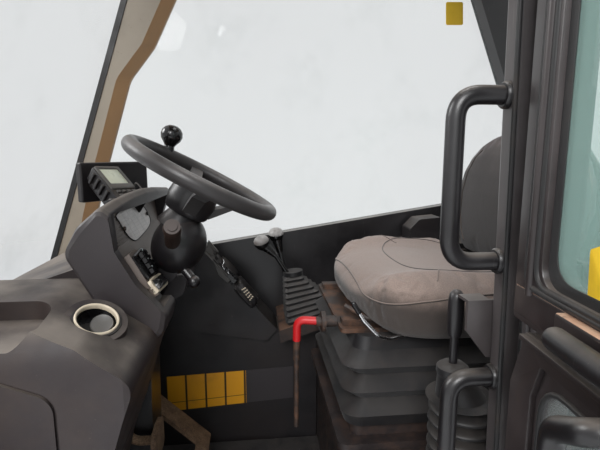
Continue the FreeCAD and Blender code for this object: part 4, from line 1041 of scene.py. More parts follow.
def curve_through(points, steps=6, closed=False):
    """Smooth line of points through a few of them."""
    count = len(points)
    spans = count if closed else count - 1
    out = []
    for i in range(spans):
        p0, p1, p2, p3 = (points[(i + k) % count] if closed else points[max(0, min(count - 1, i + k))] for k in (-1, 0, 1, 2))
        for k in range(steps):
            t = k / steps
            out.append(tuple(0.5 * (2 * b + (c - a) * t + (2 * a - 5 * b + 4 * c - d) * t * t + (3 * b - a - 3 * c + d) * t ** 3)
                             for a, b, c, d in zip(p0, p1, p2, p3)))
    if not closed:
        out.append(tuple(points[-1]))
    return out


def drawn(pixels, names, lift=0.0, steps=6, closed=False):
    """A line drawn in the picture, laid on the surface of the nodes."""
    out = []
    for p in curve_through(pixels, steps, closed):
        hit = sight(p[0], p[1], names, False)
        if hit:
            out.append(hit[0] + hit[1] * lift)
    return out


class Growth:
    """A geometry node tree with named sizes; grow() runs it on a source mesh and keeps the plain result."""

    def __init__(self, name, **sizes):
        self.tree = bpy.data.node_groups.new(name, "GeometryNodeTree")
        face = self.tree.interface
        face.new_socket("Source", in_out="INPUT", socket_type="NodeSocketGeometry")
        face.new_socket("Shape", in_out="OUTPUT", socket_type="NodeSocketGeometry")
        self.keys = {}
        for key, value in sizes.items():
            kind = "NodeSocketInt" if isinstance(value, int) else "NodeSocketFloat"
            socket = face.new_socket(key, in_out="INPUT", socket_type=kind)
            socket.default_value = value
            self.keys[key] = socket.identifier
        self.keys["Finish"] = face.new_socket("Finish", in_out="INPUT", socket_type="NodeSocketMaterial").identifier
        self.start = self.tree.nodes.new("NodeGroupInput")
        self.end = self.tree.nodes.new("NodeGroupOutput")

    def given(self, name):
        return Val(self.tree, self.start.outputs[name])

    node = Finish.node

    def attribute(self, name):
        return self.node("GeometryNodeInputNamedAttribute", "Attribute", {"Name": name}, data_type="FLOAT_VECTOR")

    def close(self, shape, smooth):
        shape = self.node("GeometryNodeRealizeInstances", 0, {0: shape})
        shape = self.node("GeometryNodeSetShadeSmooth", 0, {0: shape, "Shade Smooth": smooth})
        shape = self.node("GeometryNodeSetMaterial", 0, {0: shape, "Material": self.given("Finish")})
        feed(self.tree, self.end.inputs[0], shape)
        return self

    def grow(self, name, mesh, body, finish, slot_name=None, **sizes):
        source = bpy.data.objects.new(name + "_source", mesh)
        bpy.context.scene.collection.objects.link(source)
        grower = source.modifiers.new("grow", "NODES")
        grower.node_group = self.tree
        grower[self.keys["Finish"]] = FINISHES[finish]
        for key, value in sizes.items():
            grower[self.keys[key]] = value
        done = bpy.data.meshes.new_from_object(source.evaluated_get(bpy.context.evaluated_depsgraph_get()))
        bpy.data.objects.remove(source)
        return add(name, done, body, finish, slot_name)


GROWTH = {}


def make_growths():
    """Bead: a round bar along each line. Studs: a low tapered block or disc on each point, facing its way."""
    g = Growth("bead", Radius=0.002, Sides=8)
    line = g.node("GeometryNodeMeshToCurve", 0, {0: g.given("Source")})
    ring = g.node("GeometryNodeCurvePrimitiveCircle", 0, {"Resolution": g.given("Sides"), "Radius": g.given("Radius")})
    bar = g.node("GeometryNodeCurveToMesh", 0, {"Curve": line, "Profile Curve": ring, "Fill Caps": True})
    GROWTH["bead"] = g.close(bar, True)
    g = Growth("studs", Radius=0.004, High=0.003, Taper=0.8, Long=1.0, Sides=4)
    head = g.node("GeometryNodeMeshCone", 0, {"Vertices": g.given("Sides"), "Radius Top": g.given("Radius") * g.given("Taper"),
                                              "Radius Bottom": g.given("Radius"), "Depth": g.given("High")})
    eighth = g.node("FunctionNodeAxisAngleToRotation", 0, {"Axis": (0, 0, 1), "Angle": math.pi / 4})
    head = g.node("GeometryNodeTransform", 0, {0: head, "Rotation": eighth})
    size = g.node("ShaderNodeCombineXYZ", 0, {"X": g.given("Long"), "Y": 1.0, "Z": 1.0})
    up = g.node("FunctionNodeAlignRotationToVector", 0, {"Vector": g.attribute("way")}, axis="Z", pivot_axis="AUTO")
    turn = g.node("FunctionNodeAlignRotationToVector", 0, {"Rotation": up, "Vector": g.attribute("along")},
                  axis="X", pivot_axis="Z")
    heads = g.node("GeometryNodeInstanceOnPoints", 0,
                   {"Points": g.given("Source"), "Instance": head, "Rotation": turn, "Scale": size})
    GROWTH["studs"] = g.close(heads, False)


def bead(name, lines, radius, body, finish, closed=False, sides=8, slot_name=None):
    points, edges = [], []
    for line in lines:
        base = len(points)
        points += [tuple(p) for p in line]
        edges += [(base + i, base + i + 1) for i in range(len(line) - 1)]
        if closed:
            edges.append((base + len(line) - 1, base))
    mesh = bpy.data.meshes.new(name + "_line")
    mesh.from_pydata(points, edges, [])
    return GROWTH["bead"].grow(name, mesh, body, finish, slot_name, Radius=radius, Sides=sides)


def studs(name, places, body, finish, radius=0.004, high=0.003, taper=0.8, long=1.0, sides=16):
    """Heads or keys; places are (point, way it faces, way of its long side)."""
    mesh = bpy.data.meshes.new(name + "_points")
    mesh.from_pydata([tuple(p[0]) for p in places], [], [])
    for key, column in (("way", 1), ("along", 2)):
        layer = mesh.attributes.new(key, "FLOAT_VECTOR", "POINT")
        layer.data.foreach_set("vector", [c for p in places for c in p[column]])
    return GROWTH["studs"].grow(name, mesh, body, finish, None, Radius=radius, High=high, Taper=taper, Long=long, Sides=sides)


def studs_at(name, pixels, names, body, finish, lift=0.0, **sizes):
    """Heads where the picture points lie on the nodes."""
    places = []
    for px, py in pixels:
        hit = sight(px, py, names, False)
        if hit is None:
            continue
        at, way = hit
        side = way.cross(Vector((0, 0, 1)))
        places.append((at + way * lift, way, side.normalized() if side.length > 0.01 else Vector((1, 0, 0))))
    return studs(name, places, body, finish, **sizes)


def plate(name, pixels, names, body, finish, high=0.002, crown=0.0, edge=0.94, smooth=1, flat=None, along=(1, 0)):
    """A crowned plate with the outline drawn in the picture, seated on the surface of the nodes."""
    ring = curve_through(pixels, 4, True) if smooth else curve_through_straight(pixels, 6)
    cx = sum(p[0] for p in pixels) / len(pixels)
    cy = sum(p[1] for p in pixels) / len(pixels)
    centre, way = sight(cx, cy, names)
    if flat is not None:
        way = Vector(flat).normalized()
    size = max(abs(p[0] - cx) + abs(p[1] - cy) for p in pixels)
    form = bmesh.new()
    mapped = form.loops.layers.uv.new("surface")
    spot = {}
    rows = []
    levels = ((1.0, -0.0012), (1.0, high * 0.55), (edge, high), (edge * 0.8, high + crown * 0.5),
              (edge * 0.5, high + crown * 0.85), (edge * 0.2, high + crown))
    for share, lift in levels:
        row = []
        for p in ring:
            x, y = cx + (p[0] - cx) * share, cy + (p[1] - cy) * share
            at = through(x, y, centre, way)
            if flat is None:
                hit = sight(x, y, names, False)
                at = hit[0] if hit and (hit[0] - at).length < 0.03 else at
            vertex = form.verts.new(at + way * lift)
            spot[vertex] = (0.5 + ((x - cx) * along[0] + (y - cy) * along[1]) / size / 2,
                            0.5 + ((y - cy) * along[0] - (x - cx) * along[1]) / size / 2)
            row.append(vertex)
        rows.append(row)
    count = len(ring)
    for low, top in zip(rows, rows[1:]):
        for i in range(count):
            j = (i + 1) % count
            form.faces.new((low[i], low[j], top[j], top[i]))
    form.faces.new(list(reversed(rows[0])))
    form.faces.new(rows[-1])
    for face in form.faces:
        for loop in face.loops:
            loop[mapped].uv = spot[loop.vert]
    bmesh.ops.recalc_face_normals(form, faces=form.faces)
    mesh = bpy.data.meshes.new(name)
    form.to_mesh(mesh)
    form.free()
    smooth_by_angle(mesh, 35)
    return add(name, mesh, body, finish)


def curve_through_straight(points, steps):
    """Points along the straight sides of an outline, its corners cut a little."""
    out = []
    count = len(points)
    for i in range(count):
        a, b = points[i], points[(i + 1) % count]
        for k in range(steps + 1):
            t = 0.06 + 0.88 * k / steps
            out.append((a[0] + (b[0] - a[0]) * t, a[1] + (b[1] - a[1]) * t))
    return out


def grid_of(corners, across, down, margin=0.5):
    """Picture points in rows and columns between four corners."""
    (ax, ay), (bx, by), (cx, cy), (dx, dy) = corners
    out = []
    for j in range(down):
        v = (j + margin) / down
        for i in range(across):
            u = (i + margin) / across
            out.append((ax + (bx - ax) * u + (dx - ax) * v + (ax - bx + cx - dx) * u * v,
                        ay + (by - ay) * u + (dy - ay) * v + (ay - by + cy - dy) * u * v))
    return out


def lathe(name, centre, axis, profile, body, finish, count=48, slot_name=None):
    """A turned piece: profile holds (radius, height along the axis)."""
    axis = Vector(axis).normalized()
    side = axis.cross(Vector((0.31, 0.17, 0.93))).normalized()
    other = axis.cross(side)
    rings = []
    for radius, height in profile:
        rings.append([Vector(centre) + axis * height + (side * math.cos(a) + other * math.sin(a)) * radius
                      for a in (2 * math.pi * i / count for i in range(count))])

    def build(form):
        ring_form(form, rings)
    mesh = bake_piece(name, build)
    smooth_by_angle(mesh, 40)
    return add(name, mesh, body, finish, slot_name)


# ---------------------------------------------------------------- fascia fittings

VENT_AT, VENT_WAY = Vector((0.322, 0.238, 0.716)), Vector((-0.35, 0.35, 0.87)).normalized()
VENT_R = 0.037
WINDOW = ((115.6, 215), (125.6, 207.3), (136.4, 201.1), (139.5, 202.6), (144, 207.3), (147.7, 213.9), (149.8, 219.4),
          (148.6, 226.6), (141.7, 235.3), (135.8, 240.5), (131.5, 239.4), (126.5, 234.6), (122.8, 229), (118.4, 221.5))
SWITCHES = ((131.3, 257.5), (139.4, 248.4), (142.6, 249), (157.5, 270.6), (148.1, 281), (144.3, 277.2))
ROCKER_FRAME = ((147.6, 282.4), (156.4, 274.7), (160.4, 276.2), (166.4, 283.8), (164.6, 287.3), (156.2, 294.1), (153.1, 291.3))
ROCKER = ((149.6, 282.9), (157.5, 277), (164.3, 285), (156.3, 292.3))


def dash_fittings():
    """Instrument window, switches with bright chrome studs as painted glints, warning lamps and screws on the dash
    face.
    """
    face = "dash_panel"
    plate("dash_window", WINDOW, face, "cab", "grid", 0.0016, along=(0.86, -0.52))
    bead("dash_window_edge", [drawn(WINDOW, face, 0.001, 4, True)], 0.0011, "cab", "dark", closed=True)
    studs_at("dash_screws", ((123.1, 228.8), (146, 213.8)), face, "cab", "pan", 0.002, radius=0.0042, high=0.003)
    plate("dash_switch_bank", SWITCHES, face, "cab", "black", 0.004, edge=0.9, smooth=0)
    keys = grid_of(((135, 255.9), (140.5, 250.7), (154.3, 269.6), (148.3, 276.5)), 2, 4)
    studs_at("dash_switch_keys", keys, face, "cab", "black", 0.006, radius=0.0068, high=0.006, taper=0.8, long=1.5, sides=4)
    # bright chrome studs where glints lie on the gloss keys: painted highlights standing in for the glints
    glints = ((138, 252.4), (140.8, 252.5), (138.2, 255.6), (141.8, 255.3), (143.6, 260.9), (146.8, 260.6), (147.6, 268.3))
    studs_at("dash_switch_glint_studs", glints, face, "cab", "chrome", 0.0094, radius=0.0014, high=0.0012, taper=0.7, long=2.4, sides=4)
    studs_at("dash_lamp_red", ((152.0, 272.4),), face, "cab", "lamp", 0.006, radius=0.0044, high=0.005, taper=0.7, sides=14)
    studs_at("dash_lamp_orange", ((151.9, 267.1),), face, "cab", "orange", 0.006, radius=0.003, high=0.004, taper=0.7, sides=14)
    plate("dash_rocker_frame", ROCKER_FRAME, face, "cab", "cream", 0.006, edge=0.9)
    plate("dash_rocker", ROCKER, face, "cab", "black", 0.012, crown=0.003, edge=0.88, smooth=0)


def vent_fittings():
    """Left-hand air vent: dark collar and cup, pale ring and the turning disc inside."""
    collar = ((0.0350, -0.022), (0.0372, -0.001), (0.0362, 0.0016), (0.0335, 0.0022), (0.0305, 0.0), (0.0300, -0.022))
    ring_piece("air_vent_collar", VENT_AT, VENT_WAY, collar, "cab", "dark", "air_vent")
    rim = ((0.0290, -0.004), (0.0288, 0.0022), (0.0298, 0.0044), (0.0312, 0.0049), (0.0324, 0.0042), (0.0330, 0.0015), (0.0322, -0.001))
    ring_piece("air_vent_ring", VENT_AT, VENT_WAY, rim, "cab", "cream")
    cup = ((0.0, -0.024), (0.0300, -0.024), (0.0306, -0.006), (0.0290, -0.006), (0.0280, -0.0215), (0.0, -0.0218))
    add("air_vent_cup", turning(VENT_AT, VENT_WAY, cup, 40), "cab", "black")
    disc = ((0.0, -0.0035), (0.0165, -0.0035), (0.0172, 0.0), (0.0160, 0.0022), (0.0145, 0.0012), (0.0, 0.0014))
    add("air_vent_disc", turning(VENT_AT + Vector((-0.008, 0.003, -0.006)), (-0.15, 0.62, 0.77), disc, 36), "cab", "panel")


def ring_piece(name, centre, axis, section, body, finish, *replaced, count=64):
    """A closed ring: section holds (radius, height) corners in order round it."""
    axis = Vector(axis).normalized()
    side = axis.cross(Vector((0.31, 0.17, 0.93))).normalized()
    other = axis.cross(side)

    def build(form):
        rows = []
        for i in range(count):
            a = 2 * math.pi * i / count
            out = side * math.cos(a) + other * math.sin(a)
            rows.append([form.verts.new(Vector(centre) + out * r + axis * h) for r, h in section])
        for i in range(count):
            a, b = rows[i], rows[(i + 1) % count]
            for k in range(len(section)):
                n = (k + 1) % len(section)
                form.faces.new((a[k], a[n], b[n], b[k]))
    mesh = bake_piece(name, build)
    smooth_by_angle(mesh, 50)
    return add(name, mesh, body, finish, None, *replaced)


HANDSET = ((234.5, 289), (237.5, 282), (242, 280), (248, 285), (255, 293.5), (257, 301), (253, 306), (249, 305))


def side_fittings():
    """Right-hand console: pale key strip, round dial cover with a bright edge, grey panel, small box, and the hand
    control with its keys.
    """
    top = "switch_plate side_console"
    plate("console_key_strip", ((208.5, 239.5), (219, 251.5), (213, 261), (205, 253)), top, "cab", "panel", 0.003, smooth=0)
    plate("console_dial_cover", ((222, 256), (228, 258), (236, 268), (238, 275), (231, 275), (223, 266)), top, "cab",
          "dark", 0.006, crown=0.003)
    bead("console_dial_edge", [drawn(((226, 257.5), (222, 258.5), (222.5, 265), (227, 271.5), (233, 276)), top, 0.007)], 0.0016,
         "cab", "chrome")
    plate("console_panel", ((214, 262), (221, 267), (232, 279), (228, 283), (219, 275)), top, "cab", "panel", 0.003, smooth=0)
    plate("console_small_box", ((225.5, 277), (229, 274), (236, 281.5), (232, 285)), top, "cab", "black", 0.012, smooth=0)
    plate("console_hand_control", HANDSET, top, "cab", "dark", 0.020, crown=0.004, edge=0.86)
    keys = grid_of(((241, 286), (245, 284), (254, 294), (250.5, 299)), 3, 5)
    studs_at("console_hand_keys", keys, top, "cab", "cream", 0.0255, radius=0.0024, high=0.002, taper=0.75, long=1.3, sides=4)


# Hand levers: foot in the boot, knee, knob centre
LEVERS = (("lever_main", (-0.012, -0.292, 0.640), (0.020, -0.295, 0.690), (0.057, -0.300, 0.724)),
          ("lever_auxiliary", (-0.006, -0.306, 0.640), (0.006, -0.320, 0.695), (0.016, -0.330, 0.740)))
KNOB = ((0.0, -0.021), (0.0085, -0.0205), (0.0145, -0.016), (0.0195, -0.007), (0.021, 0.002), (0.0200, 0.0085),
        (0.0182, 0.0120), (0.0165, 0.0124))
KNOB_CAP = ((0.0, 0.0020), (0.0206, 0.0020), (0.0217, 0.0045), (0.0205, 0.0105), (0.0158, 0.0165), (0.0085, 0.0205), (0.0, 0.0216))
KNOB_COLLAR = ((0.0, -0.050), (0.0085, -0.050), (0.0098, -0.040), (0.0135, -0.022), (0.0150, -0.012), (0.0, -0.010))


def lever_fittings():
    """Two bent hand levers with round knobs and the pale caps let into them."""
    for name, foot, knee, top in LEVERS:
        way = (Vector(top) - Vector(knee)).normalized()
        forms = [bar(bent((foot, knee, top), 0.05), 0.0062), turning(top, way, KNOB), turning(top, way, KNOB_COLLAR, 28)]
        add(name + "_knob", joined(name, forms), "cab", "knob", None, name)
        add(name + "_cap", turning(top, (way + Vector((-0.1, 0.5, 1.2))).normalized(), KNOB_CAP), "cab", "knob_cap")


# ---------------------------------------------------------------- door, posts and glazing

DOOR_PIN, DOOR_SWING = Vector((-0.261, 0.466, 0.0)), math.radians(85.0)
DOOR_IN, DOOR_OUT = 0.410, 0.445       # faces of the closed leaves
DOOR_EDGE = -0.241                     # their hinge edge
DOOR_SPLIT, DOOR_TOP = 0.793, 1.545
# Front edge of the upper leaf: place along X, height, radius
DOOR_FRONT = ((0.545, DOOR_SPLIT, 0.02), (0.507, 0.892, 0.12), (0.418, 1.172, 0.09), (0.347, 1.262, 0.07),
              (0.283, 1.391, 0.07), (0.219, DOOR_TOP, 0.04))
RAIL_LOW, RAIL_HIGH, RAIL_IN = 0.799, 0.830, 0.010
RAIL_FREE = -0.150                       # where the closed rail is clear of the post and its handle
PANE_IN = DOOR_IN + 0.008               # inner face of the upper pane
HINGES = {"door_lower": (0.300, 0.660), "door_upper": (0.850, 1.440)}


def hung(x, z, y):
    """A place on the closed leaves, swung to how they stand."""
    return Matrix.Rotation(DOOR_SWING, 3, "Z") @ (Vector((x, y, z)) - DOOR_PIN) + DOOR_PIN


def upper_outline(border, low, top):
    """The upper leaf's outline, drawn in by a border."""
    front = [(x - 0.012 - border, z, r) for x, z, r in DOOR_FRONT]
    front[0] = (front[0][0], low, 0.02 + border * 0.4)
    front[-1] = (front[-1][0], top, 0.04)
    return rounded([(DOOR_EDGE + border, low, 0.006 + border * 0.4)] + front + [(DOOR_EDGE + border, top, 0.03)])


def knuckles(body):
    """Hinge knuckles of a leaf, with their straps."""
    forms = []
    for z in HINGES[body]:
        forms.append(bar((DOOR_PIN + Vector((0, 0, z - 0.014)), DOOR_PIN + Vector((0, 0, z + 0.014))), 0.016, 24))
        strap = rounded([(DOOR_PIN.x + 0.012, z - 0.014), (DOOR_EDGE + 0.05, z - 0.014, 0.006),
                         (DOOR_EDGE + 0.05, z + 0.014, 0.006), (DOOR_PIN.x + 0.012, z + 0.014)])
        forms.append(slab("strap", [strap], 0.450, 0.457, hung))
        pad = [(DOOR_EDGE + 0.004, z - 0.012), (DOOR_EDGE + 0.048, z - 0.012), (DOOR_EDGE + 0.048, z + 0.012),
               (DOOR_EDGE + 0.004, z + 0.012)]
        forms.append(slab("pad", [pad], 0.4445, 0.4505, hung, 0.0004))
    return forms


def box_outline(u0, v0, u1, v1, r=0.002):
    return rounded([(u0, v0, r), (u1, v0, r), (u1, v1, r), (u0, v1, r)], 3)


def upper_door():
    """Upper leaf: frame round the pane, worn rail with its latch bar, seals in two lines, and the pane."""
    light = upper_outline(0.048, DOOR_SPLIT + 0.048, DOOR_TOP - 0.044)
    nose = DOOR_FRONT[0][0] - 0.012
    frame_form = slab("door_upper_frame", [upper_outline(0.0, DOOR_SPLIT, DOOR_TOP), light], DOOR_IN, DOOR_OUT, hung)
    # the rail stands proud of the leaf's inner face only where it clears the post and its handle
    rail = joined("rail", [
        slab("rail_end", [box_outline(DOOR_EDGE + 0.001, RAIL_LOW, RAIL_FREE + 0.004, RAIL_HIGH, 0.003)], DOOR_IN - 0.0005,
             DOOR_IN + 0.002, hung, 0.0008),
        slab("rail", [box_outline(RAIL_FREE, RAIL_LOW, nose - 0.05, RAIL_HIGH, 0.003)], DOOR_IN - RAIL_IN,
             DOOR_IN + 0.002, hung, 0.002)])
    roll = bar([hung(DOOR_EDGE + 0.030, z, DOOR_IN + 0.001) for z in (RAIL_HIGH - 0.004, DOOR_TOP - 0.014)], 0.0055)
    out = DOOR_IN - 0.0255
    ends = [hung(DOOR_EDGE + place, 0.8175, out) for place in (0.122, 0.66)]
    add("door_upper_frame", joined("door_upper_frame", [frame_form, roll] + knuckles("door_upper")), "door_upper", "door",
        None, "door_upper")
    add("door_upper_rail", rail, "door_upper", "rail")
    forms = [bar(ends, 0.0105, 20, True)]
    for share in (0.1, 0.5, 0.9):
        at = ends[0].lerp(ends[1], share)
        inward = hung(0, 0, DOOR_IN) - hung(0, 0, out)
        forms.append(bar((at, at + inward), 0.006))
    add("door_latch_bar", joined("door_latch_bar", forms), "door_upper", "handle")
    lines = []
    for border in (0.040, 0.022):
        line = upper_outline(border, DOOR_SPLIT + 0.048 - (0.048 - border) * 0.25, DOOR_TOP - border * 0.9)
        lines.append([hung(p[0], p[1], DOOR_IN + 0.0005) for p in line])
    bead("door_upper_seals", lines, 0.0034, "door_upper", "seal", closed=True)
    pane = upper_outline(0.0455, DOOR_SPLIT + 0.0455, DOOR_TOP - 0.0415)
    add("door_upper_pane", slab("door_upper_pane", [pane], PANE_IN, PANE_IN + 0.004, hung, 0.0004), "door_upper",
        "green", None, "door_upper_glass")
    frit = upper_outline(0.060, DOOR_SPLIT + 0.058, DOOR_TOP - 0.056)
    add("door_upper_frit", slab("door_upper_frit", [upper_outline(0.047, DOOR_SPLIT + 0.047, DOOR_TOP - 0.043), frit],
                                PANE_IN - 0.0014, PANE_IN - 0.0002, hung, 0.0003), "door_upper", "seal")


def lower_door():
    """Lower leaf: pressed skin with a notched corner, a sunk middle, a rounded light and a bent grab handle."""
    top, floor, back = 0.785, 0.170, DOOR_EDGE + 0.004
    nose = DOOR_FRONT[0][0] - 0.014
    leaf = rounded([(back, floor, 0.012), (0.285, floor, 0.03), (0.310, 0.300, 0.06), (0.485, 0.590, 0.08),
                    (nose, top, 0.012), (back + 0.024, top, 0.002), (back, top - 0.066, 0.012)])
    light = rounded([(DOOR_EDGE + 0.056, 0.262, 0.045), (0.262, 0.262, 0.045), (0.268, 0.330, 0.06), (0.420, 0.560, 0.06),
                     (nose - 0.103, top - 0.040, 0.045), (DOOR_EDGE + 0.056, top - 0.040, 0.042)])
    sunk = rounded([(DOOR_EDGE + 0.046, floor + 0.022, 0.02), (0.264, floor + 0.022, 0.03), (0.290, 0.310, 0.06),
                    (0.462, 0.594, 0.07), (nose - 0.034, top - 0.024, 0.02), (DOOR_EDGE + 0.060, top - 0.024, 0.004),
                    (DOOR_EDGE + 0.046, top - 0.062, 0.004)])
    forms = [slab("skin", [leaf, light], DOOR_IN + 0.007, DOOR_OUT, hung),
             slab("border", [leaf, sunk], DOOR_IN, DOOR_IN + 0.0075, hung, 0.0015),
             slab("flange", [box_outline(back + 0.026, top - 0.006, nose - 0.013, top)], DOOR_IN - 0.008, DOOR_IN + 0.001, hung)]
    x, y, head, foot = DOOR_EDGE + 0.138, DOOR_IN - 0.031, top - 0.011, 0.505
    route = [hung(*p) for p in ((x, foot, DOOR_IN + 0.008), (x, foot, y), (x, head - 0.026, y), (x + 0.046, head, y),
                                (x + 0.046, head, DOOR_IN + 0.004))]
    grab = [bar(bent(route, 0.020), 0.0105, 20), bar((hung(x, foot, DOOR_IN + 0.0075), hung(x, foot, DOOR_IN + 0.003)), 0.017, 24)]
    add("door_grab_handle", joined("door_grab_handle", grab), "door_lower", "handle")
    add("door_lower_leaf", joined("door_lower_leaf", forms + knuckles("door_lower")), "door_lower", "door", None, "door_lower")
    pane = rounded([(DOOR_EDGE + 0.044, 0.248, 0.05), (0.274, 0.248, 0.05), (0.280, 0.326, 0.06), (0.434, 0.566, 0.06),
                    (nose - 0.090, top - 0.028, 0.05), (DOOR_EDGE + 0.044, top - 0.028, 0.05)])
    add("door_lower_pane", slab("door_lower_pane", [pane], DOOR_IN + 0.010, DOOR_IN + 0.015, hung, 0.0004), "door_lower",
        "clear", None, "door_lower_glass")
    seal = [hung(p[0], p[1], DOOR_IN + 0.0068) for p in light]
    bead("door_lower_seal", [seal], 0.0032, "door_lower", "seal", closed=True)


def post_x(z):
    """X of the door post's front face at a height."""
    return -0.236 + (z - 0.8) * 0.02


# Grab handles on the post: height of the lower and the upper end, and how far they stand out
HANDLES = (("grab_handle_upper", 0.832, 1.040, 0.066), ("grab_handle_lower", 0.470, 0.672, 0.062))


def grab_handles():
    """Bent grab handles with a welded collar at each end."""
    y = 0.390
    for name, low, high, reach in HANDLES:
        front = post_x((low + high) / 2) + reach
        route = [(post_x(high) - 0.001, y, high), (front, y, high), (front, y, low), (post_x(low) - 0.001, y, low)]
        forms = [bar(bent(route, 0.050, 10), 0.0118, 24)]
        for z in (low, high):
            at = Vector((post_x(z), y, z))
            forms.append(turning(at, (1, 0, 0), ((0.0, -0.0005), (0.0168, -0.0005), (0.0168, 0.0035), (0.0145, 0.0065), (0.0, 0.0068)), 28))
        add(name + "_bar", joined(name, forms), "cab", "handle", None, name)


def post_strips():
    """Two rubber lips and a stop strip on the door post."""
    lip = [(post_x(z) - 0.0015, 0.4055, z) for z in (0.135, 1.552)]
    second = [(post_x(z) - 0.0250, 0.4120, z) for z in (0.135, 1.552)]
    add("post_lips", joined("post_lips", [bar(lip, 0.0034, 10), bar(second, 0.0042, 10)]), "cab", "seal")

    def on_post(u, z, w):
        return Vector((post_x(z) - 0.025 + w, u, z))
    strip = slab("stop", [box_outline(0.419, 0.20, 0.427, 0.925)], -0.0005, 0.006, on_post)
    add("post_stop_strip", strip, "cab", "post")


def glazing_fittings():
    """Blank yellow plates on the door's pane and on the right window."""
    way = hung(0, 0, 0) - hung(0, 0, 1)
    line = []
    for px, py in ((591, 249.5), (622, 240), (622, 348), (586.5, 322)):
        at = through(px, py, hung(0, 0.9, PANE_IN), way)
        closed = Matrix.Rotation(-DOOR_SWING, 3, "Z") @ (at - DOOR_PIN) + DOOR_PIN
        line.append((closed.x, closed.z, 0.003))
    add("door_pane_plate", slab("door_pane_plate", [rounded(line)], PANE_IN - 0.0007, PANE_IN - 0.0001, hung, 0.0002),
        "door_upper", "sticker")
    plate("window_plate", ((446, 2), (463, 2), (463, 25), (446, 25)), "window_right", "cab", "sticker", 0.0006, smooth=0)


# ---------------------------------------------------------------- seat base

def base_fittings():
    """Chrome lever of the slide beside the cushion, and the red sleeve of the weight adjuster."""
    route = [(-0.088, 0.214, 0.716), (-0.1035, 0.220, 0.690), (-0.128, 0.222, 0.6635), (-0.150, 0.212, 0.6535), (-0.19, 0.196, 0.6535)]
    add("seat_slide_lever", bar(bent(route, 0.02), 0.0036, 12, True), "seat", "chrome")
    sleeve = [(-0.047, 0.0949, 0.6445), (-0.003, 0.086, 0.646), (-0.003, 0.0775, 0.600)]
    add("adjuster_sleeve", bar(bent(sleeve, 0.018), 0.0080, 16), "cab", "red")
    rings = []
    for k in range(113):
        t = k / 112
        z = 0.441 + 0.205 * t
        shift = max(0.0, t - 0.72) / 0.28
        wave = 0.5 + 0.5 * math.cos(2 * math.pi * (z - 0.441) / 0.0205)
        size = 0.0375 + 0.0155 * wave ** 0.7 if t < 0.8 else 0.0375 - 0.016 * (t - 0.8) / 0.2
        rings.append([Vector((-0.237 + 0.0225 * shift + size * math.cos(a), 0.320 + 0.002 * shift + size * math.sin(a), z))
                      for a in (2 * math.pi * i / 40 for i in range(40))])
    boot = bake_piece("boot", lambda form: ring_form(form, rings))
    smooth_by_angle(boot, 60)
    collar = turning((-0.2145, 0.322, 0.0), (0, 0, 1), ((0.0, 0.640), (0.0222, 0.640), (0.0240, 0.646), (0.0235, 0.654), (0.0160, 0.660), (0.0, 0.6605)))
    add("brake_boot_bellows", joined("brake_boot_bellows", [boot, collar]), "cab", "boot", None, "brake_boot")
    grip = ((0.0, 0.6560), (0.0062, 0.6560), (0.0062, 0.7020), (0.0096, 0.7030), (0.0110, 0.7120), (0.0118, 0.7400), (0.0116, 0.7580),
            (0.0098, 0.7670), (0.0055, 0.7720), (0.0, 0.7735))
    add("brake_lever_grip", turning((-0.2145, 0.322, 0.0), (0, 0, 1), grip), "cab", "satin", None, "brake_lever")
    add("seat_slide_grip", bar(((-0.0865, 0.2135, 0.7185), (-0.0945, 0.217, 0.705)), 0.0046, 12, True), "seat", "black")


# ---------------------------------------------------------------- steering and display

WHEEL_AT, WHEEL_R = Vector((0.180, 0.0, 0.920)), 0.151
WHEEL_UP = Vector((-math.sin(math.radians(28)), 0.0, math.cos(math.radians(28))))
WHEEL_AHEAD = Vector((math.cos(math.radians(28)), 0.0, math.sin(math.radians(28))))


def spinner():
    """Knob on the steering wheel's rim, on its clamp and neck."""
    turn = math.radians(-49.0)
    foot = WHEEL_AT + (WHEEL_AHEAD * math.cos(turn) + Vector((0, 1, 0)) * math.sin(turn)) * WHEEL_R
    pear = ((0.0, 0.004), (0.0125, 0.004), (0.0118, 0.014), (0.0110, 0.020), (0.0150, 0.026), (0.0215, 0.034), (0.0240, 0.043),
            (0.0225, 0.053), (0.0165, 0.0610), (0.0085, 0.0652), (0.0, 0.0664))
    add("spinner_ball", turning(foot, Vector((-0.25, 0.0, 0.97)), pear, 44), "steering_wheel", "knob", None, "spinner_knob")
    cone = ((0.0, -0.079), (0.042, -0.079), (0.0455, -0.074), (0.0500, -0.050), (0.0470, -0.028), (0.0400, -0.024),
            (0.0330, -0.034), (0.0, -0.038))
    add("wheel_hub_cover", turning(WHEEL_AT, WHEEL_UP, cone, 40), "steering_wheel", "handle")


SCREEN_AT = Vector((0.367, -0.058, 0.916))
SCREEN_WAY = Vector((-0.540, 0.340, 0.770)).normalized()
SCREEN_LONG = Vector((-0.618, 0.459, -0.637))
SCREEN_LONG = (SCREEN_LONG - SCREEN_WAY * SCREEN_LONG.dot(SCREEN_WAY)).normalized()
SCREEN_ACROSS = SCREEN_WAY.cross(SCREEN_LONG)


def on_display(u, v, w):
    return SCREEN_AT + (SCREEN_ACROSS * u + SCREEN_LONG * v + SCREEN_WAY * w) * 1.25


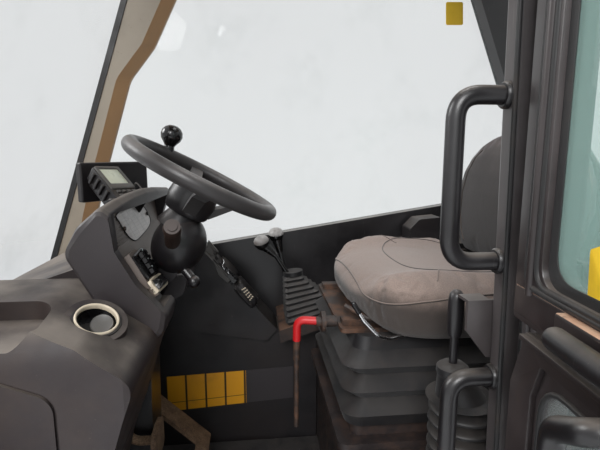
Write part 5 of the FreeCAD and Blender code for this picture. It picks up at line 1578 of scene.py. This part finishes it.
def display():
    """Display unit: ribbed case, pale screen in a grey frame, a row of keys, a turning knob and its stand."""
    case = [slab("case", [box_outline(-0.026, -0.032, 0.026, 0.060, 0.005)], -0.026, 0.0, on_display, 0.003),
            slab("rear", [box_outline(-0.021, -0.026, 0.021, 0.054, 0.004)], -0.036, -0.025, on_display, 0.002)]
    for place in (-0.020, -0.006, 0.008, 0.022):
        case.append(slab("rib", [box_outline(-0.030, place, -0.024, place + 0.005, 0.001)], -0.024, -0.004, on_display, 0.0006))
    foot = on_display(0.0, 0.030, -0.03)
    case.append(bar((foot, Vector((0.352, -0.024, 0.86)), Vector((0.352, -0.022, 0.80))), 0.010, 16))
    add("display_case", joined("display_case", case), "cab", "dark", None, "display_unit")
    add("display_bezel", slab("display_bezel", [box_outline(-0.024, -0.030, 0.024, 0.026, 0.003),
                                                box_outline(-0.0185, -0.0235, 0.0185, 0.0135, 0.002)], -0.001, 0.003, on_display, 0.0012),
        "cab", "panel")
    add("display_screen", slab("display_screen", [box_outline(-0.0190, -0.0240, 0.0190, 0.0140, 0.001)], -0.001, 0.001, on_display, 0.0003),
        "cab", "screen")
    places = [(on_display(u, v, 0.001), SCREEN_WAY, SCREEN_ACROSS) for v in (0.032, 0.042) for u in (-0.015, -0.005, 0.005, 0.015)]
    studs("display_keys", places, "cab", "panel", radius=0.0052, high=0.003, taper=0.8, long=1.2, sides=4)
    hoop = [on_display(u, v, w) for u, v, w in ((0.0245, 0.020, 0.0), (0.0245, 0.020, 0.010), (0.0245, 0.056, 0.010), (0.0245, 0.058, 0.0))]
    add("display_guard", joined("display_guard", [bar(bent(hoop, 0.006), 0.0016, 8)]), "cab", "panel")
    add("display_knob", turning(on_display(-0.026, 0.048, -0.012), -SCREEN_ACROSS, ((0.0, 0.0), (0.0125, 0.0), (0.0125, 0.010), (0.0105, 0.012), (0.0, 0.012)), 28),
        "cab", "dark")


# ---------------------------------------------------------------- run

make_finishes()
camera()
studio()
for finish_name, names in NODE_FINISH.items():
    for node_name in names.split():
        dress(NODES[node_name], finish_name)
make_growths()
seat_seams(seat_cushion())
back_seams(back_cushion())
dash_fittings()
vent_fittings()
side_fittings()
lever_fittings()
upper_door()
lower_door()
grab_handles()
post_strips()
glazing_fittings()
base_fittings()
spinner()
display()
